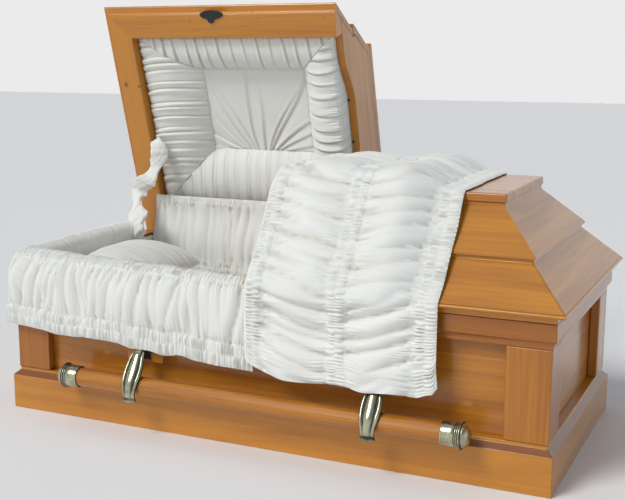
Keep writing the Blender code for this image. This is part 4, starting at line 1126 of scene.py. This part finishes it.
class CASKET_OT_lid_padding(bpy.types.Operator):
    """Pads the open lid: four pleated rolls and a centre panel with pleats that fan out"""
    bl_idname = "casket.lid_padding"
    bl_label = "Lid padding"

    # pitch, height, width, sag, spread and crush of each roll's pleats
    styles = {"front": (0.037, 0.0046, 0.0030, 0.012, 0.25, 0.35),
              "foot": (0.042, 0.0072, 0.0050, 0.006, 0.4, 0.6),
              "back": (0.037, 0.0036, 0.0024, -0.008, 0.15, 0.12),
              "head": (0.025, 0.0060, 0.0046, 0.014, 0.65, 0.8)}

    def execute(self, context):
        rng = np.random.default_rng(look()[2].seed + 2)
        material = crepe("lid crepe")
        gap = 0.001
        head_x, foot_x = -(HALF_LENGTH - RIM_INSET - gap), -(SPLIT_FACE + gap)
        side_y = HALF_WIDTH - RIM_INSET - gap
        corners = [(head_x, -side_y), (foot_x, -side_y), (foot_x, side_y), (head_x, side_y)]
        inside = [(PANEL_EDGE[end], PANEL_EDGE[side])
                  for end, side in (("head", "front"), ("foot", "front"), ("foot", "back"), ("head", "back"))]
        for index, (side, style) in enumerate(self.styles.items()):
            after = (index + 1) % len(corners)
            outer, inner = (corners[index], corners[after]), (inside[index], inside[after])
            self.roll(rng, side, outer, inner, style, material)
        self.fan(rng, material)
        return {"FINISHED"}

    def roll(self, rng, side, outer, inner, style, material):
        """One mitred roll: it rises beside the frame, bulges out of it and curves to the centre panel."""
        start, stop = np.array(outer)
        inner_start, inner_stop = np.array(inner)
        bed, dip, swell, hidden = 0.028, 0.052, 0.015, 0.078
        ahead = (stop - start) / np.linalg.norm(stop - start)
        span = float(np.linalg.norm(stop - start))
        girth = abs(float(ahead[0] * (inner_start - start)[1] - ahead[1] * (inner_start - start)[0]))
        rows, columns, wall = int(span / 0.0015), 56, 6
        u = np.linspace(0, 1, rows)[:, None]
        w = np.concatenate([np.zeros(wall), (1 - np.cos(np.linspace(0, math.pi, columns))) / 2])[None, :]
        rise = np.concatenate([np.linspace(1, 0, wall + 1)[:-1], np.zeros(columns)])[None, :]
        outer_edge = start[None, None] + (stop - start) * u[..., None]
        inner_edge = inner_start[None, None] + (inner_stop - inner_start) * u[..., None]
        flat = outer_edge + (inner_edge - outer_edge) * w[..., None]
        s = (flat - start) @ ahead
        t = np.broadcast_to(w * girth, s.shape).copy()
        pitch, height, width, sag, spread, crush = style
        folds = pleats(rng, s, t, girth, pitch, height, width, sag, spread)
        folds += creases(rng, s, t, 0.0, girth, pitch=pitch * 0.6, depth=height * crush, width=width * 0.7,
                         sag=sag, whole=0.1)
        folds += frill(rng, s, t - 1e-6, 0.0, 1, pitch=0.0085, height=height * 0.55, reach=0.014) * (t > 0)
        folds += frill(rng, s, t, girth, -1, pitch=0.0085, height=height * 0.5, reach=0.012)
        folds += 0.0016 * drift(rng, s - s.min(), t, pitch_s=0.05, pitch_t=0.05)
        ends = np.clip(np.minimum(u, 1 - u) / 0.010, 0, 1) ** 0.4
        bulge = swell * np.sin(math.pi * np.clip(w * 1.05, 0, 1)) ** 0.8
        deep = dip * (1 - np.sqrt(np.clip(1 - w ** 2.3, 0, 1)))
        tuck_in = 0.008 * np.clip(1 - w / 0.08, 0, 1) ** 2
        beside = rise * (0.055 if side == "foot" else 0.012)
        z = LID_BOTTOM + bed + deep + tuck_in + beside - bulge * (0.90 + 0.10 * ends) - folds * ends
        grid = opened(np.concatenate([flat, z[..., None]], -1))
        middle = flat.reshape(-1, 2).mean(0)
        centre = opened((middle[0], middle[1], LID_BOTTOM + hidden))
        thing = stuffed(f"padded_roll_{side}", grid, material, fold_shade_mark(folds, 0.85), "head_lid", centre)
        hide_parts(f"lid_roll_{side}")

    def fan(self, rng, material):
        """Centre panel: pleats that rise from a point at its lower edge and fan out."""
        edge, bed, hidden = 0.006, 0.070, 0.088
        x = np.linspace(PANEL_EDGE["head"] - edge, PANEL_EDGE["foot"] + edge, 200)
        y = np.linspace(PANEL_EDGE["front"] - edge, PANEL_EDGE["back"] + edge, 140)
        grid_x, grid_y = np.meshgrid(x, y, indexing="ij")
        focus = (-0.305, PANEL_EDGE["back"] + 0.012)
        height = 0.0015 * drift(rng, grid_x, grid_y, pitch_s=0.09, pitch_t=0.09)
        fan_pleats = ((12, 0.7), (28, 0.9), (43, 1.1), (57, 1.0), (68, 0.8), (84, 0.7), (101, 0.7),
                      (113, 0.8), (127, 1.0), (139, 0.6), (152, 0.9), (167, 0.7))
        for degrees, strength in fan_pleats:
            angle = math.radians(degrees)
            foot = focus[0] + 0.040 * math.cos(angle) + rng.uniform(-0.004, 0.004)
            run_x, run_y = math.cos(angle), -math.sin(angle)
            along = (grid_x - foot) * run_x + (grid_y - focus[1]) * run_y
            off = (grid_x - foot) * -run_y + (grid_y - focus[1]) * run_x
            off = off + rng.uniform(-0.7, 0.7) * along ** 2 + 0.003 * np.sin(along * rng.uniform(15, 30))
            grow = np.clip(along / 0.020, 0, 1) * np.clip(1.15 - along / rng.uniform(0.2, 0.45), 0.12, 1)
            wide = 0.0036 + 0.034 * np.clip(along, 0, 1)
            side = np.where(off < 0, 0.35, 1.6)
            height -= 0.0080 * strength * grow * np.exp(-np.sqrt((off / (wide * side)) ** 2 + 0.04))
            height += 0.0022 * strength * grow * np.exp(-((off + wide * 0.9) / (wide * 0.6)) ** 2)
        border = np.minimum.reduce([grid_x - x[0], x[-1] - grid_x, grid_y - y[0], y[-1] - grid_y])
        height -= 0.006 * np.clip(1 - border / 0.012, 0, 1)
        z = LID_BOTTOM + bed - height
        grid = opened(np.stack([grid_x, grid_y, z], -1))
        centre = opened((x.mean(), y.mean(), LID_BOTTOM + hidden))
        thing = stuffed("fan_panel", grid, material, fold_shade_mark(height, 0.85), "head_lid", centre)
        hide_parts("lid_centre_panel")


class CASKET_OT_apron(bpy.types.Operator):
    """Shirrs the cloth between the back of the bedding and the open lid"""
    bl_idname = "casket.apron"
    bl_label = "Back apron"

    def execute(self, context):
        rng = np.random.default_rng(look()[2].seed + 3)
        low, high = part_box("back_apron")
        path = [(0.2985, high.z + 0.004), (0.2965, high.z - 0.018), (0.2965, high.z - 0.050),
                (0.288, high.z - 0.085), (0.278, high.z - 0.120), (0.2715, high.z - 0.160),
                (0.2700, low.z + 0.012)]
        path, length = even(rounded(path, 16), 66)
        rows = 430
        line = np.linspace(0, high.x - low.x, rows)
        s = np.broadcast_to(line[:, None], (rows, len(path))).copy()
        t = np.broadcast_to(np.linspace(0, length, len(path))[None, :], s.shape).copy()
        top, hem = 0.030, length - 0.036
        middle = np.clip((t - top) / (hem - top), 0, 1)
        arch = 0.006 * np.sin(math.pi * middle) ** 0.7
        relief = creases(rng, s, t, top, hem, pitch=0.0240, depth=0.0140, width=0.0056,
                         lean=(0.05, -0.10), whole=0.6, sway=0.14)
        relief += frill(rng, s, t, top, 1, pitch=0.0100, height=0.0025, reach=0.012)
        relief += frill(rng, s, t, hem, -1, pitch=0.0080, height=0.0040, reach=0.012)
        relief += shirring(rng, s, t, 0.0, top, rows=2, pitch=0.0100, height=0.0070)
        relief += shirring(rng, s, t, hem, length, rows=2, pitch=0.0088, height=0.0080)
        y, z = raised(path, hull_normals(path), arch + relief)
        grid = np.stack([np.broadcast_to((low.x + line)[:, None], s.shape), y, z], -1)
        thing = thin_cloth("shirred_apron", grid, grid_normals(grid), crepe("apron crepe"),
                           fold_shade_mark(relief, 0.8), None)
        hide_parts("back_apron")
        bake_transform(thing)
        return {"FINISHED"}


class CASKET_OT_sleeve(bpy.types.Operator):
    """Gathers the cloth sleeve over the lid support"""
    bl_idname = "casket.sleeve"
    bl_label = "Support sleeve"

    def execute(self, context):
        rng = np.random.default_rng(look()[2].seed + 4)
        low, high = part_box("support_sleeve")
        depth = (low.y + high.y) / 2
        places = ((-0.630, -0.106, 0.400), (-0.642, -0.083, 0.421), (-0.660, -0.060, 0.443),
                  (-0.678, -0.036, 0.465), (-0.692, -0.014, 0.487), (-0.692, 0.0, 0.510),
                  (-0.672, 0.0, 0.538), (-0.640, 0.0, 0.572), (-0.622, 0.0, 0.604),
                  (-0.618, 0.0, 0.640), (-0.610, 0.0, 0.682))
        route = [(x, depth + back, z) for x, back, z in places]
        rows, around = 200, 72
        route, length = even(rounded(route, 14), rows)
        ahead = directions(route)
        side = np.cross(ahead, np.array([0.0, 1.0, 0.0]))
        side /= np.linalg.norm(side, axis=1)[:, None]
        face = np.cross(side, ahead)
        turn = np.linspace(0, 2 * math.pi, around, endpoint=False)
        line = np.linspace(0, length, rows)
        turned = turn[None, :] + 0.4 * wander(rng, line, 0.08)[:, None]
        wide = 0.0235 + 0.0030 * wander(rng, line, 0.040) + 0.0110 * np.clip(1 - line / 0.100, 0, 1)
        thin = 0.0058 + 0.0015 * wander(rng, line, 0.035)
        ends = np.clip(np.minimum(0.60 + line / 0.020, (length - line) / 0.020), 0.25, 1)
        scallop = line / 0.034 + 0.5 * wander(rng, line, 0.06)
        gathered = (1.15 - 0.85 * line / length)[:, None]
        waves = np.abs(np.sin(math.pi * (scallop[:, None] + 0.25 * np.cos(turn))))
        ruffle = 0.0060 * gathered * waves ** 0.7
        wrinkle = 0.0009 * gathered * np.sin(turned * 4 + 5 * wander(rng, line, 0.03)[:, None])
        wrinkle = wrinkle + 0.0004 * np.sin(turned * 9 + line[:, None] * 120)
        route = route + 0.005 * side * np.sin(line * 2 * math.pi / 0.085)[:, None]
        twist = 0.45 * np.sin(line * 2 * math.pi / 0.120 + 0.6)[:, None]
        broad = side * np.cos(twist) + face * np.sin(twist)
        narrow = face * np.cos(twist) - side * np.sin(twist)
        reach_broad = ((wide * ends)[:, None] + ruffle + wrinkle) * np.cos(turned)
        reach_narrow = ((thin * ends)[:, None] + ruffle * 0.6 + wrinkle) * np.sin(turned)
        points = (route[:, None, :] + broad[:, None, :] * reach_broad[..., None]
                  + narrow[:, None, :] * reach_narrow[..., None])
        mark = fold_shade_mark(wrinkle + ruffle, 0.6)
        vertices = points.reshape(-1, 3)
        faces = ring_faces(len(route), around)
        faces += [tuple(range(around)), tuple(range((len(route) - 1) * around, len(route) * around))]
        thing = mesh_object("ruffled_sleeve", vertices, faces, crepe("sleeve crepe"), None,
                            mark.ravel())
        outward(thing)
        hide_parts("support_sleeve")
        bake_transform(thing)
        return {"FINISHED"}


class CASKET_OT_bedding(bpy.types.Operator):
    """Makes the pillow, the mattress and the lining of the walls"""
    bl_idname = "casket.bedding"
    bl_label = "Bedding and wall lining"

    def execute(self, context):
        rng = np.random.default_rng(look()[2].seed + 5)
        self.pillow(rng)
        self.mattress(rng)
        self.lining(rng)
        return {"FINISHED"}

    def pillow(self, rng):
        """A crowned pillow with fine pleats that run from head to foot."""
        low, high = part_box("pillow")
        half_length, half_width, fuller, raised_by = 0.118, 0.180, 0.005, 0.008
        from_head, from_front = 0.022, -0.026
        half = Vector((half_length, half_width, (high.z - low.z) / 2 + fuller))
        centre = Vector((low.x + half.x + from_head, low.y + half.y + from_front,
                         (high.z + low.z) / 2 + raised_by))
        grid_v, grid_u = np.meshgrid(np.linspace(-1, 1, 230), np.linspace(-1, 1, 84), indexing="ij")
        s, t = (grid_v + 1) * half.y, (grid_u + 1) * half.x
        crown = grid_u + 0.22 * (1 - grid_u ** 2)
        full = (np.clip(1 - np.abs(crown) ** 2.5, 0, 1) * np.clip(1 - np.abs(grid_v) ** 2.8, 0, 1)) ** 0.50
        folds = creases(rng, s, t, 0.0, 2 * half.x, pitch=0.0145, depth=0.0052, width=0.0042,
                        lean=(0.06, -0.06), whole=0.4, sway=0.15)
        folds *= np.clip(full * 3, 0, 1)
        x = centre.x + half.x * grid_u * (1 - 0.07 * grid_v ** 4 + 0.05 * (1 - grid_v ** 2))
        y = centre.y + half.y * grid_v * (1 - 0.06 * grid_u ** 4 + 0.04 * (1 - grid_u ** 2))
        top = np.stack([x, y, centre.z + (half.z - 0.002) * full + folds], -1)
        mark = fold_shade_mark(folds, 0.6)
        material = crepe("pillow crepe")
        thing = stuffed("pleated_pillow", top, material, mark, "casket_body",
                        (centre.x, centre.y, low.z + 0.0015))
        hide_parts("pillow")

    def mattress(self, rng):
        """The flat bed, soft at its edges, with a few slack wrinkles."""
        low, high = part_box("mattress")
        x = np.linspace(low.x, high.x, 150)
        y = np.linspace(low.y, high.y, 90)
        grid_x, grid_y = np.meshgrid(x, y, indexing="ij")
        border = np.minimum.reduce([grid_x - x[0], x[-1] - grid_x, grid_y - y[0], y[-1] - grid_y])
        soft_edge, edge_drop, slack, skirt_bottom = 0.015, 0.006, 0.0022, 0.10
        z = high.z - edge_drop * np.clip(1 - border / soft_edge, 0, 1) ** 2.2
        wrinkle = slack * drift(rng, grid_x, grid_y, pitch_s=0.09, pitch_t=0.05) - slack
        z = np.where(border < SAME_POINT, low.z + skirt_bottom, z + wrinkle * np.clip(border / 0.03, 0, 1))
        grid = np.stack([grid_x, grid_y, z], -1)
        thing = stuffed("mattress_cover", grid, crepe("mattress crepe"), fold_shade_mark(wrinkle, 0.4),
                        "casket_body", ((low.x + high.x) / 2, 0.0, low.z + 0.0005))
        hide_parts("mattress")

    def lining(self, rng):
        """Cloth on the inner walls, in one ring, slightly shirred."""
        low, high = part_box("body_lining")
        inset, step, proud, gap = 0.0085, 0.004, 0.0004, 0.0006
        corners = [(high.x - inset, low.y + inset), (high.x - inset, high.y - inset),
                   (low.x + inset, high.y - inset), (low.x + inset, low.y + inset)]
        ring = []
        for start, stop in zip(corners, corners[1:] + corners[:1]):
            steps = int(math.dist(start, stop) / step)
            for k in range(steps):
                ring.append([a + (b - a) * (k / steps) for a, b in zip(start, stop)])
        ring = np.array(ring)
        following = np.roll(ring, -1, axis=0) - np.roll(ring, 1, axis=0)
        following /= np.linalg.norm(following, axis=1)[:, None]
        inward = np.stack([-following[:, 1], following[:, 0]], 1)
        levels = np.linspace(low.z, high.z, 22)
        line = np.arange(len(ring)) * step
        s = np.broadcast_to(line[:, None], (len(ring), len(levels))).copy()
        t = np.broadcast_to((levels - levels[0])[None, :], s.shape).copy()
        folds = creases(rng, s, t, 0.0, levels[-1] - levels[0], pitch=0.045, depth=0.0030, width=0.0080,
                        whole=0.7)
        fade = np.minimum(line, line[::-1]) / 0.05
        folds = folds * np.clip(fade, 0, 1)[:, None]
        inner = np.stack([ring[:, 0][:, None] + inward[:, 0][:, None] * (folds + proud),
                          ring[:, 1][:, None] + inward[:, 1][:, None] * (folds + proud),
                          np.broadcast_to(levels[None, :], s.shape)], -1)
        outer_ring = ring - inward * (inset - gap)
        outer = [np.stack([outer_ring[:, 0], outer_ring[:, 1], np.full(len(ring), z)], -1)
                 for z in (levels[-1], levels[0])]
        loops = [inner[:, column] for column in range(len(levels))] + outer
        vertices = np.concatenate(loops)
        count = len(ring)
        faces = ring_faces(len(loops), count)
        last = (len(loops) - 1) * count
        faces += [(last + i, last + (i + 1) % count, (i + 1) % count, i) for i in range(count)]
        mark = np.concatenate([fold_shade_mark(folds, 0.5)[:, column] for column in range(len(levels))]
                              + [np.ones(count) * 0.5] * 2)
        thing = mesh_object("wall_lining", vertices, faces, crepe("lining crepe"), "casket_body",
                            mark)
        outward(thing)
        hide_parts("body_lining")


class CASKET_OT_foot_lining(bpy.types.Operator):
    """Lines the hollow of the foot lid with loosely shirred cloth"""
    bl_idname = "casket.foot_lining"
    bl_label = "Foot lid lining"

    def execute(self, context):
        rng = np.random.default_rng(look()[2].seed + 6)
        low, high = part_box("foot_lid_lining")
        x = np.linspace(low.x, high.x, 280)
        y = np.linspace(low.y, high.y, 70)
        grid_x, grid_y = np.meshgrid(x, y, indexing="ij")
        s, t = grid_x - x[0], grid_y - y[0]
        folds = creases(rng, s, t, 0.0, t.max(), pitch=0.026, depth=0.0075, width=0.0080, lean=(0.05, -0.05))
        folds += 0.002 * drift(rng, s, t, pitch_s=0.05, pitch_t=0.08)
        border = np.minimum.reduce([s, s.max() - s, t, t.max() - t])
        hang = 0.002 + 0.9 * (folds - folds.min())
        grid = np.stack([grid_x, grid_y, low.z - hang * np.clip(border / 0.012, 0, 1)], -1)
        thing = stuffed("foot_lid_cloth", grid, crepe("foot lid crepe"), fold_shade_mark(folds, 0.7), "foot_lid",
                        ((low.x + high.x) / 2, 0.0, high.z))
        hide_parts("foot_lid_lining")
        return {"FINISHED"}


# stage

def horizon_ramp(tree, first, last):
    """A colour ramp between two (place, colour) stops."""
    node = tree.nodes.new("ShaderNodeValToRGB")
    for element, (place, colour) in zip(node.color_ramp.elements, (first, last)):
        element.position = place
        element.color = (*colour, 1.0)
    return node


class CASKET_OT_stage(bpy.types.Operator):
    """Sets the camera, the pale floor and the soft lights"""
    bl_idname = "casket.stage"
    bl_label = "Stage"

    def execute(self, context):
        stage = context.scene.casket_stage
        self.camera(context)
        self.floor(stage)
        self.key_light(stage)
        self.softbox(stage)
        self.surroundings(context, stage)
        context.scene.view_settings.view_transform = "Standard"
        return {"FINISHED"}

    def key_light(self, stage):
        """One broad soft light from the upper front left."""
        light = bpy.data.lights.new("key", "SUN")
        light.energy = stage.key
        light.angle = KEY_SPREAD
        key = bpy.data.objects.new("key", light)
        bpy.context.scene.collection.objects.link(key)
        key.rotation_euler = KEY_DIRECTION.to_track_quat("-Z", "Y").to_euler()

    def softbox(self, stage):
        """A large box of soft light above the casket."""
        light = bpy.data.lights.new("overhead", "AREA")
        light.shape = "RECTANGLE"
        light.size, light.size_y = SOFTBOX_SIZE
        light.energy = stage.overhead
        softbox = bpy.data.objects.new("overhead", light)
        bpy.context.scene.collection.objects.link(softbox)
        softbox.location = SOFTBOX_PLACE
        softbox.rotation_euler = (SOFTBOX_AIM - SOFTBOX_PLACE).to_track_quat("-Z", "Y").to_euler()

    def surroundings(self, context, stage):
        """Even light that is bright near the horizon, softer overhead and cooler towards the foot end."""
        world = bpy.data.worlds.new("pale surroundings")
        context.scene.world = world
        world.use_nodes = True
        tree = world.node_tree
        place = tree.nodes.new("ShaderNodeTexCoord")
        split = tree.nodes.new("ShaderNodeSeparateXYZ")
        white = (1.0, 1.0, 1.0)
        ramp = horizon_ramp(tree, (0.22, white), (0.55, (0.26, 0.27, 0.29)))
        side = horizon_ramp(tree, (0.35, white), (0.95, (0.86, 1.02, 1.20)))
        tree.links.new(place.outputs["Generated"], split.inputs[0])
        tree.links.new(split.outputs[2], ramp.inputs[0])
        tree.links.new(split.outputs[0], side.inputs[0])
        tint = tree.nodes.new("ShaderNodeMix")
        tint.data_type = "RGBA"
        tint.blend_type = "MULTIPLY"
        tint.inputs["Factor"].default_value = 1.0
        tree.links.new(ramp.outputs[0], tint.inputs[6])
        tree.links.new(side.outputs[0], tint.inputs[7])
        background = tree.nodes["Background"]
        tree.links.new(tint.outputs[2], background.inputs["Color"])
        background.inputs["Strength"].default_value = stage.world

    def camera(self, context):
        """The camera at the photo's angle."""
        data = bpy.data.cameras.new("camera")
        data.lens = CAMERA_LENS
        data.sensor_width = SENSOR_WIDTH
        data.shift_x, data.shift_y = CAMERA_SHIFT
        camera = bpy.data.objects.new("camera", data)
        context.scene.collection.objects.link(camera)
        facing = (CAMERA_AIM - CAMERA_PLACE).to_track_quat("-Z", "Y").to_matrix().to_4x4()
        roll = Matrix.Rotation(-CAMERA_ROLL, 4, "Z")
        camera.matrix_world = Matrix.Translation(CAMERA_PLACE) @ facing @ roll
        context.scene.camera = camera

    def floor(self, stage):
        """A wide pale floor just below the casket."""
        half = FLOOR_SIZE / 2
        corners = ((-half, -half), (half, -half), (half, half), (-half, half))
        vertices = [(x, y, FLOOR_LEVEL) for x, y in corners]
        mesh = bpy.data.meshes.new("floor")
        mesh.from_pydata(vertices, [], [(0, 1, 2, 3)])
        floor = bpy.data.objects.new("floor", mesh)
        bpy.context.scene.collection.objects.link(floor)
        paint = Paint("floor paint")
        cloud = paint.noise(paint.place(), 1.5, 2.0)
        colour = paint.mix(cloud * 0.1, stage.floor, [level * 0.96 for level in stage.floor])
        mesh.materials.append(paint.finish(base_color=colour, roughness=0.6))


STEPS = ("stage", "woodwork", "handles", "fittings", "bedding", "skirt", "throw", "lid_padding", "apron",
         "sleeve", "foot_lining")


class CASKET_PT_panel(bpy.types.Panel):
    """Lists the casket's settings and its steps in order"""
    bl_idname = "CASKET_PT_panel"
    bl_label = "Half-couch casket"
    bl_space_type = "VIEW_3D"
    bl_region_type = "UI"
    bl_category = "Casket"

    def draw(self, context):
        for group in ("casket_stage", "casket_wood", "casket_metal", "casket_cloth"):
            settings = getattr(context.scene, group)
            for key in settings.__annotations__:
                self.layout.prop(settings, key)
        for step in STEPS:
            self.layout.operator(f"casket.{step}")


SETTINGS = {"casket_stage": CasketStage, "casket_wood": CasketWood, "casket_metal": CasketMetal,
            "casket_cloth": CasketCloth}
OPERATORS = (CASKET_OT_stage, CASKET_OT_woodwork, CASKET_OT_handles, CASKET_OT_fittings, CASKET_OT_bedding,
             CASKET_OT_skirt, CASKET_OT_throw, CASKET_OT_lid_padding, CASKET_OT_apron, CASKET_OT_sleeve,
             CASKET_OT_foot_lining, CASKET_PT_panel)


def register():
    for name, group in SETTINGS.items():
        bpy.utils.register_class(group)
        setattr(bpy.types.Scene, name, PointerProperty(type=group))
    for operator in OPERATORS:
        bpy.utils.register_class(operator)


def unregister():
    for operator in reversed(OPERATORS):
        bpy.utils.unregister_class(operator)
    for name, group in SETTINGS.items():
        delattr(bpy.types.Scene, name)
        bpy.utils.unregister_class(group)


def main():
    register()
    for step in STEPS:
        getattr(bpy.ops.casket, step)()


if __name__ == "__main__":
    main()
